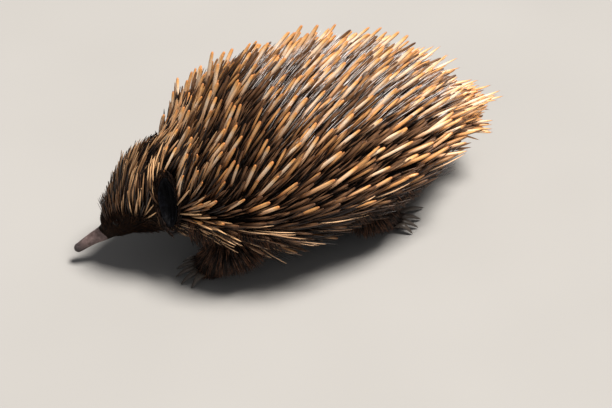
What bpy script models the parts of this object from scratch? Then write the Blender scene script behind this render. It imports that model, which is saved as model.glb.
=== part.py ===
"""A short-beaked echidna in mid-step, as a still model at life size.

Metres, +Z up. The animal faces -X, its left side is -Y, and it stands on z = 0.
The body is one smooth form, read from a row of stations along its middle line.
It is parted at the beak's base, the neck and the rump, and the spines are set on it in rows.
"""

import math
import random
from collections import namedtuple

import bmesh
import bpy
import numpy as np
from mathutils import Matrix, Vector
from mathutils.bvhtree import BVHTree

GAP = 0.0003  # left between nodes that touch
LEG_GAP = 0.0004  # left between a leg and the torso
SEED = 7

# Where the middle line runs, and how far the body reaches from it to each side, up and down
Station = namedtuple("Station", "name x y z half_width up down")
BODY = (
    Station("beak tip", -0.2350, 0.0300, 0.0190, 0.0052, 0.0050, 0.0045),
    Station("beak middle", -0.2200, 0.0262, 0.0290, 0.0067, 0.0066, 0.0060),
    Station("beak base", -0.2050, 0.0220, 0.0378, 0.0094, 0.0098, 0.0086),
    Station("face", -0.1965, 0.0197, 0.0464, 0.0172, 0.0188, 0.0132),
    Station("eye", -0.1865, 0.0173, 0.0560, 0.0238, 0.0260, 0.0175),
    Station("brow", -0.1720, 0.0145, 0.0660, 0.0330, 0.0350, 0.0240),
    Station("ear", -0.1510, 0.0108, 0.0770, 0.0440, 0.0430, 0.0335),
    Station("neck", -0.1280, 0.0070, 0.0830, 0.0585, 0.0500, 0.0450),
    Station("shoulder", -0.1000, 0.0030, 0.0865, 0.0805, 0.0645, 0.0600),
    Station("chest", -0.0620, 0.0010, 0.0890, 0.1010, 0.0825, 0.0690),
    Station("back", -0.0150, 0.0000, 0.0900, 0.1070, 0.0885, 0.0695),
    Station("middle", 0.0350, 0.0000, 0.0905, 0.1045, 0.0845, 0.0655),
    Station("hip", 0.0900, 0.0000, 0.0880, 0.0940, 0.0710, 0.0600),
    Station("rump", 0.1350, 0.0000, 0.0820, 0.0700, 0.0520, 0.0500),
    Station("tail base", 0.1640, 0.0000, 0.0765, 0.0400, 0.0310, 0.0310),
    Station("tail end", 0.1900, 0.0000, 0.0720, 0.0160, 0.0140, 0.0130),
)

# Spines: read along the body at these places, and round it at these angles from the middle of the back
ROUND_ANGLES = (0, 30, 60, 90, 115)
LENGTHS = (
    ("eye", (12, 12, 11, 9, 7)),
    ("brow", (20, 20, 18, 14, 10)),
    ("ear", (30, 30, 27, 21, 15)),
    ("neck", (42, 42, 38, 31, 26)),
    ("shoulder", (48, 47, 44, 38, 36)),
    ("chest", (54, 53, 50, 42, 40)),
    ("middle", (57, 56, 53, 43, 35)),
    ("hip", (60, 60, 55, 44, 30)),
    ("rump", (68, 68, 60, 41, 26)),
    ("tail base", (70, 70, 64, 48, 33)),
)
# How far their lie turns from straight back towards the ridge of the back, in degrees
TURNS = (
    ("brow", (0, 45, 60, -10, -50)),
    ("ear", (0, 50, 65, -15, -55)),
    ("neck", (0, 46, 60, 5, -55)),
    ("shoulder", (0, 36, 50, 16, -50)),
    ("chest", (0, 30, 42, 24, -36)),
    ("middle", (0, 20, 28, 20, -14)),
    ("hip", (0, 14, 20, 16, 5)),
    ("tail base", (0, 5, 8, 5, 0)),
)
# How far they rise off the skin, in degrees
RISES = (
    ("brow", (20, 20, 20, 18, 16)),
    ("ear", (24, 24, 22, 18, 15)),
    ("neck", (28, 28, 26, 21, 14)),
    ("shoulder", (32, 31, 28, 20, 15)),
    ("chest", (36, 34, 29, 20, 14)),
    ("middle", (41, 39, 31, 20, 13)),
    ("hip", (42, 39, 29, 19, 13)),
    ("rump", (42, 42, 38, 28, 18)),
    ("tail base", (36, 42, 46, 46, 30)),
)
# How far round the body they reach, in degrees
WIDEST = (
    ("eye", 40),
    ("brow", 70),
    ("ear", 92),
    ("neck", 112),
    ("shoulder", 124),
    ("chest", 120),
    ("middle", 118),
    ("rump", 122),
    ("tail base", 150),
)
SPINE_RADIUS = (
    ("brow", 0.0008),
    ("ear", 0.0011),
    ("neck", 0.0015),
    ("shoulder", 0.0020),
    ("chest", 0.0023),
    ("tail base", 0.0024),
)
SPINE_SUNK = 0.005
SPINE_TIP = 0.0003
SPINE_CLEAR = 0.0005  # kept between a spine and any other node
SPINE_SIDES, HEAD_SPINE_SIDES = 4, 3
HEAD_GAP, TORSO_GAP, RUMP_GAP, TAIL_GAP = 0.0100, 0.0180, 0.0140, 0.0125  # between neighbouring spines
EDGE_OF_NODE = 0.006  # no root nearer than this to a node's end
UNEVEN_PLACE = 0.2  # of the gap, each way
UNEVEN_LIE = 3.0  # degrees
UNEVEN_SIZE = (0.88, 1.08)
# What is tried in turn until a spine keeps clear: more turn, more rise, in degrees, and share of its length
TRIES = (
    (0, 0, 1.0),
    (0, 8, 1.0),
    (8, 4, 1.0),
    (-8, 4, 1.0),
    (0, -6, 0.9),
    (14, 8, 0.8),
    (-14, 8, 0.8),
    (0, 14, 0.7),
    (0, 0, 0.55),
)
# The fan at the tail's end: share of the end's size, spines in the ring, how far they lean outwards
TAIL_FAN = ((0.0, 1, 0.0), (0.5, 6, 0.25), (0.92, 13, 0.65))
TAIL_FAN_RISE = 0.30
TAIL_SPINE_LENGTH, TAIL_SPINE_RADIUS = 0.061, 0.0023

EAR_HEIGHT, EAR_WIDTH = 0.054, 0.019
EAR_LEAN = math.radians(15)
EAR_ANGLE = math.radians(62)
EAR_BEHIND = 0.010  # of the ear's station
EYE_RADIUS = 0.0042
EYE_ANGLE = math.radians(58)
EYE_AHEAD = 0.002  # of the eye's station
EYE_SUNK = 0.0012
LID = 0.0013
OPENING = (0.0036, 0.0022, 0.0045)  # of the lids: half its length, half its height, half its depth
BEAK_SIDES, BEAK_ROWS = 12, 6
BEAK_END = (math.radians(25), math.radians(60))  # rings of its rounded end
MOUTH_LENGTH, MOUTH_WIDTH, MOUTH_HEIGHT = 0.013, 0.009, 0.0007
MOUTH_BELOW, MOUTH_AHEAD = 0.0012, 0.003
NOSTRIL_RADIUS, NOSTRIL_BACK = 0.0009, 0.0022
NOSTRIL_ANGLE = math.radians(32)

# Legs: balls at the hip or shoulder, the knee or elbow, and the ankle or wrist, then a foot with claws.
# A ball is (forward of the sole's middle, out from the body's middle, up, radius).
Leg = namedtuple("Leg", "x side out heading balls foot claws")
Claw = namedtuple("Claw", "turn reach")  # degrees from straight ahead, metres past the foot
FORE_BALLS = ((-0.034, 0.046, 0.070, 0.034), (-0.020, 0.064, 0.045, 0.026), (-0.002, 0.054, 0.021, 0.0175))
HIND_BALLS = ((0.014, 0.046, 0.066, 0.037), (0.024, 0.066, 0.043, 0.027), (0.006, 0.060, 0.020, 0.0160))
FORE_FOOT, HIND_FOOT = (0.038, 0.037, 0.024), (0.044, 0.031, 0.022)  # length, width, height
FOOT_MIDDLE = 0.37  # share of its height at which a foot is widest
FORE_CLAWS = (Claw(-32, 0.010), Claw(-15, 0.017), Claw(0, 0.020), Claw(15, 0.018), Claw(32, 0.011))
HIND_CLAWS = (Claw(-34, 0.009), Claw(-17, 0.015), Claw(0, 0.021), Claw(18, 0.031), Claw(37, 0.008))
CLAW_RADIUS, CLAW_TIP, CLAW_FLAT, CLAW_ARCH = 0.0035, 0.0007, 0.70, 0.004
CLAW_ROOT, CLAW_SPREAD = 0.24, 0.55  # shares of the foot's length ahead of its middle, and of its width
LEGS = {
    "foreleg_left": Leg(-0.114, -1, 0.045, (-1.0, 0.15), FORE_BALLS, FORE_FOOT, FORE_CLAWS),
    "foreleg_right": Leg(-0.066, 1, 0.050, (-1.0, -0.15), FORE_BALLS, FORE_FOOT, FORE_CLAWS),
    "hindleg_left": Leg(0.086, -1, 0.057, (0.98, -0.20), HIND_BALLS, HIND_FOOT, HIND_CLAWS),
    "hindleg_right": Leg(0.112, 1, 0.057, (0.98, 0.20), HIND_BALLS, HIND_FOOT, HIND_CLAWS),
}
LEG_VOXEL, LEG_SMOOTHING, LEG_TRIANGLES = 0.003, 8, 340


def clear_scene():
    for obj in list(bpy.data.objects):
        bpy.data.objects.remove(obj)


def material(name, colour, roughness):
    made = bpy.data.materials.new(name)
    made.use_nodes = True
    shader = made.node_tree.nodes["Principled BSDF"]
    shader.inputs["Base Color"].default_value = (*colour, 1.0)
    shader.inputs["Roughness"].default_value = roughness
    return made


def smooth_slopes(at, values):
    """Slopes for a curve through the values that never overshoots them."""
    steps = np.diff(at)
    rises = np.diff(values) / steps
    slopes = np.zeros(len(values))
    for i in range(1, len(values) - 1):
        if rises[i - 1] * rises[i] > 0:
            before, after = 2 * steps[i] + steps[i - 1], steps[i] + 2 * steps[i - 1]
            slopes[i] = (before + after) / (before / rises[i - 1] + after / rises[i])
    slopes[0], slopes[-1] = rises[0], rises[-1]
    return slopes


class Form:
    """The body's smooth form. u runs along the middle line from the beak's tip, in metres, and an angle
    of 0 is the middle of the back, negative on the animal's left."""

    def __init__(self, stations):
        self.rows = np.array([station[1:] for station in stations])
        steps = np.linalg.norm(np.diff(self.rows[:, :3], axis=0), axis=1)
        self.at = np.concatenate([[0.0], np.cumsum(steps)])
        self.slopes = np.array([smooth_slopes(self.at, column) for column in self.rows.T]).T
        self.place = {station.name: u for station, u in zip(stations, self.at)}

    def read(self, u):
        i = int(np.clip(np.searchsorted(self.at, u) - 1, 0, len(self.at) - 2))
        step = self.at[i + 1] - self.at[i]
        t = (u - self.at[i]) / step
        first, last = self.rows[i], self.rows[i + 1]
        leave, arrive = self.slopes[i] * step, self.slopes[i + 1] * step
        value = (
            first * (1 + 2 * t) * (1 - t) ** 2
            + leave * t * (1 - t) ** 2
            + last * t**2 * (3 - 2 * t)
            + arrive * t**2 * (t - 1)
        )
        return value

    def frame(self, u):
        """Centre, direction to the tail, direction to the right and direction up."""
        near = 0.001
        along = Vector(self.read(u + near)[:3] - self.read(u - near)[:3]).normalized()
        right = Vector((0, 0, 1)).cross(along).normalized()
        return Vector(self.read(u)[:3]), along, right, along.cross(right)

    def point(self, u, angle, grow=0.0, share=1.0):
        half_width, up, down = self.read(u)[3:]
        centre, _, right, above = self.frame(u)
        height = up if math.cos(angle) > 0 else down
        return centre + share * (
            right * (half_width + grow) * math.sin(angle) + above * (height + grow) * math.cos(angle)
        )

    def normal(self, u, angle):
        near, turn = 0.001, 0.02
        along = self.point(u + near, angle) - self.point(u - near, angle)
        around = self.point(u, angle + turn) - self.point(u, angle - turn)
        return along.cross(around).normalized()


def read_table(form, rows, u, angle=None):
    """A value read along the body, and round it where the rows hold a value for each of ROUND_ANGLES."""
    places = [form.place[name] for name, _ in rows]
    if angle is None:
        return float(np.interp(u, places, [value for _, value in rows]))
    turn = math.degrees(abs(angle))
    return float(np.interp(u, places, [np.interp(turn, ROUND_ANGLES, values) for _, values in rows]))


def mesh_object(name, points, faces, look=None):
    mesh = bpy.data.meshes.new(name)
    mesh.from_pydata([tuple(p) for p in points], [], faces)
    if look:
        mesh.materials.append(look)
    obj = bpy.data.objects.new(name, mesh)
    bpy.context.scene.collection.objects.link(obj)
    return obj


def loft(name, rings, look=None):
    """A closed skin over rings of as many points each, with its first and last ring filled."""
    sides = len(rings[0])
    points = [point for ring in rings for point in ring]
    faces = [
        (
            row * sides + i,
            row * sides + (i + 1) % sides,
            (row + 1) * sides + (i + 1) % sides,
            (row + 1) * sides + i,
        )
        for row in range(len(rings) - 1)
        for i in range(sides)
    ]
    faces.append(tuple(reversed(range(sides))))
    faces.append(tuple(range((len(rings) - 1) * sides, len(rings) * sides)))
    obj = mesh_object(name, points, faces, look)
    face_outwards(obj)
    return obj


def face_outwards(obj):
    edited = bmesh.new()
    edited.from_mesh(obj.data)
    edited.normal_update()
    bmesh.ops.recalc_face_normals(edited, faces=edited.faces)
    if edited.calc_volume(signed=True) < 0:
        bmesh.ops.reverse_faces(edited, faces=edited.faces)
    edited.to_mesh(obj.data)
    edited.free()


def body_length(form, name, first, last, rows, sides, look, grow=0.0):
    """The body's form from u = first to u = last, as a closed piece."""
    rings = []
    for row in range(rows + 1):
        u = first + (last - first) * row / rows
        turns = [2 * math.pi * (i / sides - 0.5) for i in range(sides)]
        rings.append([form.point(u, turn, grow) for turn in turns])
    return loft(name, rings, look)


def tube(name, path, radii, sides):
    """A tapering length through the path's points."""
    whole = (path[-1] - path[0]).normalized()
    level = Vector((1, 0, 0)) if abs(whole.z) > 0.6 else Vector((0, 0, 1))
    rings = []
    for i, (point, radius) in enumerate(zip(path, radii)):
        before, after = path[max(i - 1, 0)], path[min(i + 1, len(path) - 1)]
        along = (after - before).normalized()
        across = along.cross(level).normalized()
        above = across.cross(along)
        turns = [2 * math.pi * (k + 0.5) / sides for k in range(sides)]
        rings.append([point + radius * (across * math.cos(t) + above * math.sin(t)) for t in turns])
    return loft(name, rings)


def ball(name, centre, radii, axes=None, rows=8, sides=12):
    """An ellipsoid with its radii along the three axes."""
    axes = axes or (Vector((1, 0, 0)), Vector((0, 1, 0)), Vector((0, 0, 1)))
    mesh = bpy.data.meshes.new(name)
    edited = bmesh.new()
    bmesh.ops.create_uvsphere(edited, u_segments=sides, v_segments=rows, radius=1.0)
    for vert in edited.verts:
        vert.co = centre + sum((axes[i] * radii[i] * vert.co[i] for i in range(3)), Vector())
    edited.to_mesh(mesh)
    edited.free()
    obj = bpy.data.objects.new(name, mesh)
    bpy.context.scene.collection.objects.link(obj)
    face_outwards(obj)
    return obj


def boolean(obj, operation, others):
    """Joins the others to the object or cuts them from it, applies that and removes them."""
    group = bpy.data.collections.new("operands")
    bpy.context.scene.collection.children.link(group)
    for other in others:
        group.objects.link(other)
    modifier = obj.modifiers.new(operation.lower(), "BOOLEAN")
    modifier.operation = operation
    modifier.operand_type = "COLLECTION"
    modifier.collection = group
    modifier.solver = "EXACT"
    graph = bpy.context.evaluated_depsgraph_get()
    made = bpy.data.meshes.new_from_object(obj.evaluated_get(graph))
    obj.modifiers.clear()
    obj.data = made
    for other in others:
        bpy.data.objects.remove(other)
    bpy.data.collections.remove(group)
    keep_largest(obj)
    return obj


def keep_largest(obj):
    """Leaves only the largest closed surface of the object."""
    edited = bmesh.new()
    edited.from_mesh(obj.data)
    bmesh.ops.triangulate(edited, faces=edited.faces)
    unseen, groups = set(edited.faces), []
    while unseen:
        group, edge_of_search = set(), [unseen.pop()]
        while edge_of_search:
            face = edge_of_search.pop()
            group.add(face)
            near = {other for edge in face.edges for other in edge.link_faces}
            edge_of_search.extend(near & unseen)
            unseen -= near
        groups.append(group)
    largest = max(groups, key=len)
    scraps = [face for group in groups if group is not largest for face in group]
    bmesh.ops.delete(edited, geom=scraps, context="FACES")
    edited.to_mesh(obj.data)
    edited.free()


def make_beak(form, look):
    first, last = form.at[0], form.place["beak base"] - GAP / 2
    centre, along, right, above = form.frame(first)
    turns = [2 * math.pi * i / BEAK_SIDES for i in range(BEAK_SIDES)]
    rings = []
    for round_end in BEAK_END:
        shift = along * (-form.read(first)[3] * math.cos(round_end))
        rings.append([form.point(first, turn, 0.0, math.sin(round_end)) + shift for turn in turns])
    for row in range(BEAK_ROWS + 1):
        u = first + (last - first) * row / BEAK_ROWS
        rings.append([form.point(u, turn) for turn in turns])
    beak = loft("beak", rings, look)
    axes = (along, right, above)
    corner = centre - above * MOUTH_BELOW - along * MOUTH_AHEAD
    cutters = [ball("mouth", corner, (MOUTH_LENGTH, MOUTH_WIDTH, MOUTH_HEIGHT), axes, 6, 10)]
    for side in (-1, 1):
        place = form.point(NOSTRIL_BACK, side * NOSTRIL_ANGLE)
        size = (NOSTRIL_RADIUS * 1.8, NOSTRIL_RADIUS, NOSTRIL_RADIUS)
        cutters.append(ball("nostril", place, size, axes, 6, 8))
    return boolean(beak, "DIFFERENCE", cutters)


def eye_centre(form, side):
    u, angle = form.place["eye"] - EYE_AHEAD, side * EYE_ANGLE
    return form.point(u, angle) - form.normal(u, angle) * EYE_SUNK


def outward_axes(form, u, angle):
    """Backwards, up the side and straight out, at a place on the body."""
    out = form.normal(u, angle)
    _, along, _, _ = form.frame(u)
    back = (along - out * along.dot(out)).normalized()
    upwards = out.cross(back)
    if upwards.z < 0:
        upwards = -upwards
    return back, upwards, out


# The ear's skin from its back, round its rim and down into its cup: share of its size, height off the head
EAR_PROFILE = ((0.45, -0.0095), (0.80, -0.0075), (0.97, -0.0020), (1.0, 0.0014), (0.86, 0.0018))
EAR_CUP = ((0.74, -0.0010), (0.62, -0.0045), (0.36, -0.0065))


def ear_rings(form, side, profile, grow=0.0):
    """Rings of the ear's outline, which is pointed above and below, about its place on the head."""
    u, angle = form.place["ear"] + EAR_BEHIND, side * EAR_ANGLE
    back, upwards, out = outward_axes(form, u, angle)
    lean = Matrix.Rotation(EAR_LEAN * side, 3, out)
    back, upwards = lean @ back, lean @ upwards
    sides = 14
    rings = []
    for share, height in profile:
        ring = []
        for i in range(sides):
            t = 2 * math.pi * i / sides
            wide = math.copysign(abs(math.cos(t)) ** 1.25, math.cos(t)) * (share * EAR_WIDTH / 2 + grow)
            tall = math.sin(t) * (share * EAR_HEIGHT / 2 + grow)
            ring.append(form.point(u, angle) + out * height + back * wide + upwards * tall)
        rings.append(ring)
    return rings


def make_ear(form, side, name, look):
    return loft(name, ear_rings(form, side, EAR_PROFILE + EAR_CUP), look)


def ear_pocket(form, side):
    """What is cut from the head to seat an ear."""
    floor = (EAR_PROFILE[0][0], EAR_PROFILE[0][1] - GAP)
    mouth = (EAR_PROFILE[3][0], 0.02)
    return loft("pocket", ear_rings(form, side, (floor, *EAR_PROFILE[1:4], mouth), GAP))


def make_eye(form, side, name, look):
    made = ball(name, eye_centre(form, side), [EYE_RADIUS] * 3, rows=7, sides=10)
    made.data.materials.append(look)
    return made


def make_head(form, look):
    first, last = form.place["beak base"] + GAP / 2, form.place["neck"] - GAP / 2
    head = body_length(form, "head", first, last, 14, 26, look)
    lids, openings, sockets = [], [], []
    for side in (-1, 1):
        centre = eye_centre(form, side)
        axes = outward_axes(form, form.place["eye"] - EYE_AHEAD, side * EYE_ANGLE)
        lids.append(ball("lid", centre, [EYE_RADIUS + LID] * 3, rows=8, sides=12))
        openings.append(ball("opening", centre + axes[2] * EYE_RADIUS, OPENING, axes, 8, 12))
        sockets.append(ball("socket", centre, [EYE_RADIUS + GAP] * 3, rows=7, sides=10))
    boolean(head, "UNION", lids)
    pockets = [ear_pocket(form, side) for side in (-1, 1)]
    for cutters in (openings, sockets, pockets):
        boolean(head, "DIFFERENCE", cutters)
    return head


def floor_cutter():
    bpy.ops.mesh.primitive_cube_add(size=1.0, location=(0, 0, -0.5))
    return bpy.context.object


def make_torso(form, look, grow=0.0):
    first, last = form.place["neck"] + GAP / 2, form.place["tail base"] - GAP / 2
    return body_length(form, "torso", first, last, 18, 26, look, grow)


def lie(form, u, angle, more_turn=0.0, more_rise=0.0):
    """The direction of a spine that grows there."""
    near, step = 0.001, 0.02
    normal = form.normal(u, angle)
    back = (form.point(u + near, angle) - form.point(u - near, angle)).normalized()
    around = form.point(u, angle + step) - form.point(u, angle - step)
    ridge = around * (-1 if angle > 0 else 1)
    ridge = (ridge - back * ridge.dot(back)).normalized()
    turn = math.radians(read_table(form, TURNS, u, angle) + more_turn)
    rise = math.radians(read_table(form, RISES, u, angle) + more_rise)
    flat = back * math.cos(turn) + ridge * math.sin(turn)
    return flat * math.cos(rise) + normal * math.sin(rise)


def sites(form, first, last, gap, draw):
    """Places (u, angle) for spines in staggered rows, about a gap apart, with some unevenness."""
    found = []
    rows = round((last - first) / gap)
    for row in range(rows + 1):
        u = first + (last - first) * row / rows
        widest = math.radians(read_table(form, WIDEST, u))
        turns = np.linspace(0, widest, 30)
        points = [form.point(u, turn) for turn in turns]
        arc = np.concatenate([[0.0], np.cumsum([(b - a).length for a, b in zip(points, points[1:])])])
        count = max(1, round(arc[-1] / gap))
        for i in range(-count, count + 1):
            along = (i + 0.5 * (row % 2) + draw.uniform(-UNEVEN_PLACE, UNEVEN_PLACE)) * arc[-1] / count
            if abs(along) <= arc[-1]:
                angle = math.copysign(float(np.interp(abs(along), arc, turns)), along)
                uneven = draw.uniform(-UNEVEN_PLACE, UNEVEN_PLACE) * gap
                found.append((min(max(u + uneven, first), last), angle))
    return found


def spine_rings(root, way, length, radius, sides):
    """Rings from below the skin to the tip of one spine."""
    across = way.cross(Vector((0, 0, 1)) if abs(way.z) < 0.9 else Vector((1, 0, 0))).normalized()
    above = across.cross(way)
    turns = [2 * math.pi * k / sides for k in range(sides)]
    rims = [(across * math.cos(turn) + above * math.sin(turn)) * radius for turn in turns]
    stretches = ((-SPINE_SUNK, 0.85), (length * 0.55, 1.0), (length, SPINE_TIP / radius))
    return [[root + way * reach + rim * share for rim in rims] for reach, share in stretches]


def is_clear(others, root, way, length, radius):
    """Whether a spine keeps off the other nodes and the floor."""
    for step in range(21):
        reach = -SPINE_SUNK + (length + SPINE_SUNK) * step / 20
        point = root + way * reach
        if point.z < radius + SPINE_CLEAR:
            return False
        for tree in others:
            if tree.find_nearest(point, radius + SPINE_CLEAR)[0] is not None:
                return False
    return True


def grow_spines(form, places, others, draw, sides=SPINE_SIDES):
    """A spine at each place where one can keep clear of the other nodes."""
    made = []
    for u, angle in places:
        radius = read_table(form, SPINE_RADIUS, u) * draw.uniform(*UNEVEN_SIZE)
        length = read_table(form, LENGTHS, u, angle) * 0.001 * draw.uniform(*UNEVEN_SIZE)
        turn, rise = draw.gauss(0, UNEVEN_LIE), draw.gauss(0, UNEVEN_LIE)
        root = form.point(u, angle)
        for more_turn, more_rise, share in TRIES:
            way = lie(form, u, angle, turn + more_turn, rise + more_rise)
            if is_clear(others, root, way, length * share, radius):
                made.append(loft("spine", spine_rings(root, way, length * share, radius, sides)))
                break
    return made


def tree_of(obj):
    return BVHTree.FromPolygons(
        [vert.co for vert in obj.data.vertices], [tuple(face.vertices) for face in obj.data.polygons]
    )


def make_tail(form, look, others, draw):
    """The stub of the tail, with the fan of spines that hides it."""
    first, last = form.place["tail base"] + GAP / 2, form.at[-1]
    tail = body_length(form, "tail", first, last, 5, 18, look)
    spines = grow_spines(form, sites(form, first + EDGE_OF_NODE, last, TAIL_GAP, draw), others, draw)
    centre, along, right, above = form.frame(last)
    for share, count, lean in TAIL_FAN:
        for i in range(count):
            angle = 2 * math.pi * (i + share) / count
            root = form.point(last, angle, share=share) - along * SPINE_SUNK / 5
            outwards = right * math.sin(angle) + above * math.cos(angle)
            way = (along + outwards * lean + Vector((0, 0, TAIL_FAN_RISE))).normalized()
            length = TAIL_SPINE_LENGTH * draw.uniform(*UNEVEN_SIZE)
            spines.append(loft("spine", spine_rings(root, way, length, TAIL_SPINE_RADIUS, SPINE_SIDES)))
    return boolean(tail, "UNION", spines)


def evaluated(obj):
    """The object's mesh with its modifiers applied."""
    made = bpy.data.meshes.new_from_object(obj.evaluated_get(bpy.context.evaluated_depsgraph_get()))
    obj.modifiers.clear()
    obj.data = made
    return obj


def blended(name, pieces, look, voxel, smoothing, triangles):
    """One smooth surface round all the pieces, which may overlap."""
    edited = bmesh.new()
    for piece in pieces:
        edited.from_mesh(piece.data)
        bpy.data.objects.remove(piece)
    mesh = bpy.data.meshes.new(name)
    edited.to_mesh(mesh)
    edited.free()
    obj = bpy.data.objects.new(name, mesh)
    bpy.context.scene.collection.objects.link(obj)
    remesh = obj.modifiers.new("remesh", "REMESH")
    remesh.mode = "VOXEL"
    remesh.voxel_size = voxel
    smooth = obj.modifiers.new("smooth", "SMOOTH")
    smooth.iterations = smoothing
    evaluated(obj)
    corners = sum(len(face.vertices) - 2 for face in obj.data.polygons)
    decimate = obj.modifiers.new("decimate", "DECIMATE")
    decimate.ratio = triangles / corners
    evaluated(obj)
    obj.data.materials.clear()
    obj.data.materials.append(look)
    return obj


def leg_pieces(leg):
    """Overlapping balls and lengths that fill a leg and its foot."""
    rows, sides = 12, 20
    centres = [Vector((leg.x - ahead, leg.side * out, up)) for ahead, out, up, _ in leg.balls]
    radii = [radius for _, _, _, radius in leg.balls]
    pieces = []
    for centre, radius in zip(centres, radii):
        pieces.append(ball("joint", centre, [radius] * 3, rows=rows, sides=sides))
    for i in range(len(centres) - 1):
        pieces.append(tube("length", centres[i : i + 2], radii[i : i + 2], sides))
    length, width, height = leg.foot
    centre = Vector((leg.x, leg.side * leg.out, height * FOOT_MIDDLE))
    half_size = (length / 2, width / 2, height * (1 - FOOT_MIDDLE))
    pieces.append(ball("foot", centre, half_size, foot_axes(leg), rows, sides))
    return pieces


def foot_axes(leg):
    ahead = Vector((*leg.heading, 0.0)).normalized()
    return ahead, Vector((0, 0, 1)).cross(ahead), Vector((0, 0, 1))


def claw_rings(leg, claw, sides, rows):
    """One claw, from inside the foot, in a low arc down to the floor."""
    length, width, height = leg.foot
    ahead, across, upright = foot_axes(leg)
    turn = math.radians(claw.turn)
    way = ahead * math.cos(turn) + across * math.sin(turn)
    side_way = upright.cross(way)
    sole = Vector((leg.x, leg.side * leg.out, 0))
    root = sole + ahead * length * CLAW_ROOT + across * math.sin(turn) * width * CLAW_SPREAD
    high, low = height * 0.34, CLAW_RADIUS * 0.5
    full = claw.reach + length * (0.5 - CLAW_ROOT)
    angles = [2 * math.pi * (k + 0.5) / sides for k in range(sides)]
    rims = [side_way * math.cos(a) + upright * CLAW_FLAT * math.sin(a) for a in angles]
    rings = []
    for row in range(rows + 1):
        t = row / rows
        centre = root + way * full * t
        centre.z = high + (low - high) * t**1.5 + CLAW_ARCH * math.sin(math.pi * t)
        radius = CLAW_RADIUS * (1 - t**2.6) + CLAW_TIP
        rings.append([centre + radius * rim for rim in rims])
    return rings


def make_leg(form, name, leg, look):
    """Leg, foot and claws in one, cut off where the torso begins, with a flat sole."""
    made = blended(name, leg_pieces(leg), look, LEG_VOXEL, LEG_SMOOTHING, LEG_TRIANGLES)
    boolean(made, "UNION", [loft("claw", claw_rings(leg, claw, 5, 4)) for claw in leg.claws])
    return boolean(made, "DIFFERENCE", [make_torso(form, None, LEG_GAP), floor_cutter()])


def centre_on_origin(nodes):
    """Moves the whole animal so that the middle of its box stands over the origin."""
    corners = np.array([vert.co for node in nodes for vert in node.data.vertices])
    low, high = corners.min(axis=0), corners.max(axis=0)
    shift = Matrix.Translation(Vector((-(low[0] + high[0]) / 2, -(low[1] + high[1]) / 2, -low[2])))
    for node in nodes:
        node.data.transform(shift)


def main():
    clear_scene()
    form = Form(BODY)
    fur = material("fur", (0.045, 0.028, 0.018), 0.85)
    spines = material("spines", (0.62, 0.42, 0.22), 0.45)
    hide = material("hide", (0.16, 0.13, 0.13), 0.55)
    dark = material("ear_skin", (0.03, 0.03, 0.035), 0.6)
    eye = material("eye", (0.01, 0.008, 0.008), 0.1)
    draw = random.Random(SEED)
    small = [make_beak(form, hide)]
    for side, name in ((-1, "left"), (1, "right")):
        small.append(make_ear(form, side, f"ear_{name}", dark))
        small.append(make_eye(form, side, f"eye_{name}", eye))
    for name, leg in LEGS.items():
        small.append(make_leg(form, name, leg, fur))
    kept_off = [tree_of(node) for node in small]
    head, torso = make_head(form, fur), make_torso(form, spines)
    tail = make_tail(form, spines, [*kept_off, tree_of(torso)], draw)
    start, end = form.place["neck"] + EDGE_OF_NODE, form.place["tail base"] - EDGE_OF_NODE
    turn = (form.place["hip"] + form.place["rump"]) / 2
    places = sites(form, start, turn, TORSO_GAP, draw) + sites(form, turn + RUMP_GAP, end, RUMP_GAP, draw)
    grown = grow_spines(form, places, [*kept_off, tree_of(head), tree_of(tail)], draw)
    boolean(torso, "UNION", grown)
    places = sites(form, form.place["brow"], form.place["neck"] - EDGE_OF_NODE, HEAD_GAP, draw)
    grown = grow_spines(form, places, [*kept_off, tree_of(torso)], draw, HEAD_SPINE_SIDES)
    boolean(head, "UNION", grown)
    nodes = [*small, head, torso, tail]
    centre_on_origin(nodes)
    for node in nodes:
        node.data.shade_smooth()
        node.data.set_sharp_from_angle(angle=math.radians(40))


main()
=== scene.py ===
"""The dressed echidna: one skin with its spines and fur, eyes, ears and claws, in a plain studio."""

import math
from collections import namedtuple

import bmesh
import bpy
import numpy as np
from mathutils import Matrix, Vector
from mathutils.bvhtree import BVHTree


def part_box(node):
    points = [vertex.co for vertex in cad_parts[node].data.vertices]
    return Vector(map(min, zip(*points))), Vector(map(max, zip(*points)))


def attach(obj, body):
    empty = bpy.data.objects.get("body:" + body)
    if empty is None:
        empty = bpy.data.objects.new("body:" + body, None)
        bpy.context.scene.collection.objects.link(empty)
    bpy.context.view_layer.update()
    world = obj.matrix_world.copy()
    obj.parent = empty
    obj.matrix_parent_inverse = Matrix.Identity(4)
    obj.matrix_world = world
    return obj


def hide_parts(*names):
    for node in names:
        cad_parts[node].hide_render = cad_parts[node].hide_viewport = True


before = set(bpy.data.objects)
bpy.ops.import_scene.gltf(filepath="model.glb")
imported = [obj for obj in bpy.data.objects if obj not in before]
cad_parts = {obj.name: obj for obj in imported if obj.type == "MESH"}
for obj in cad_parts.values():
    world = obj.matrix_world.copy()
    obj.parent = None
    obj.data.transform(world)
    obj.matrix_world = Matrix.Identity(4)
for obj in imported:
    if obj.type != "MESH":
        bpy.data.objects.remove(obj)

SEED = 11

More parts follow.
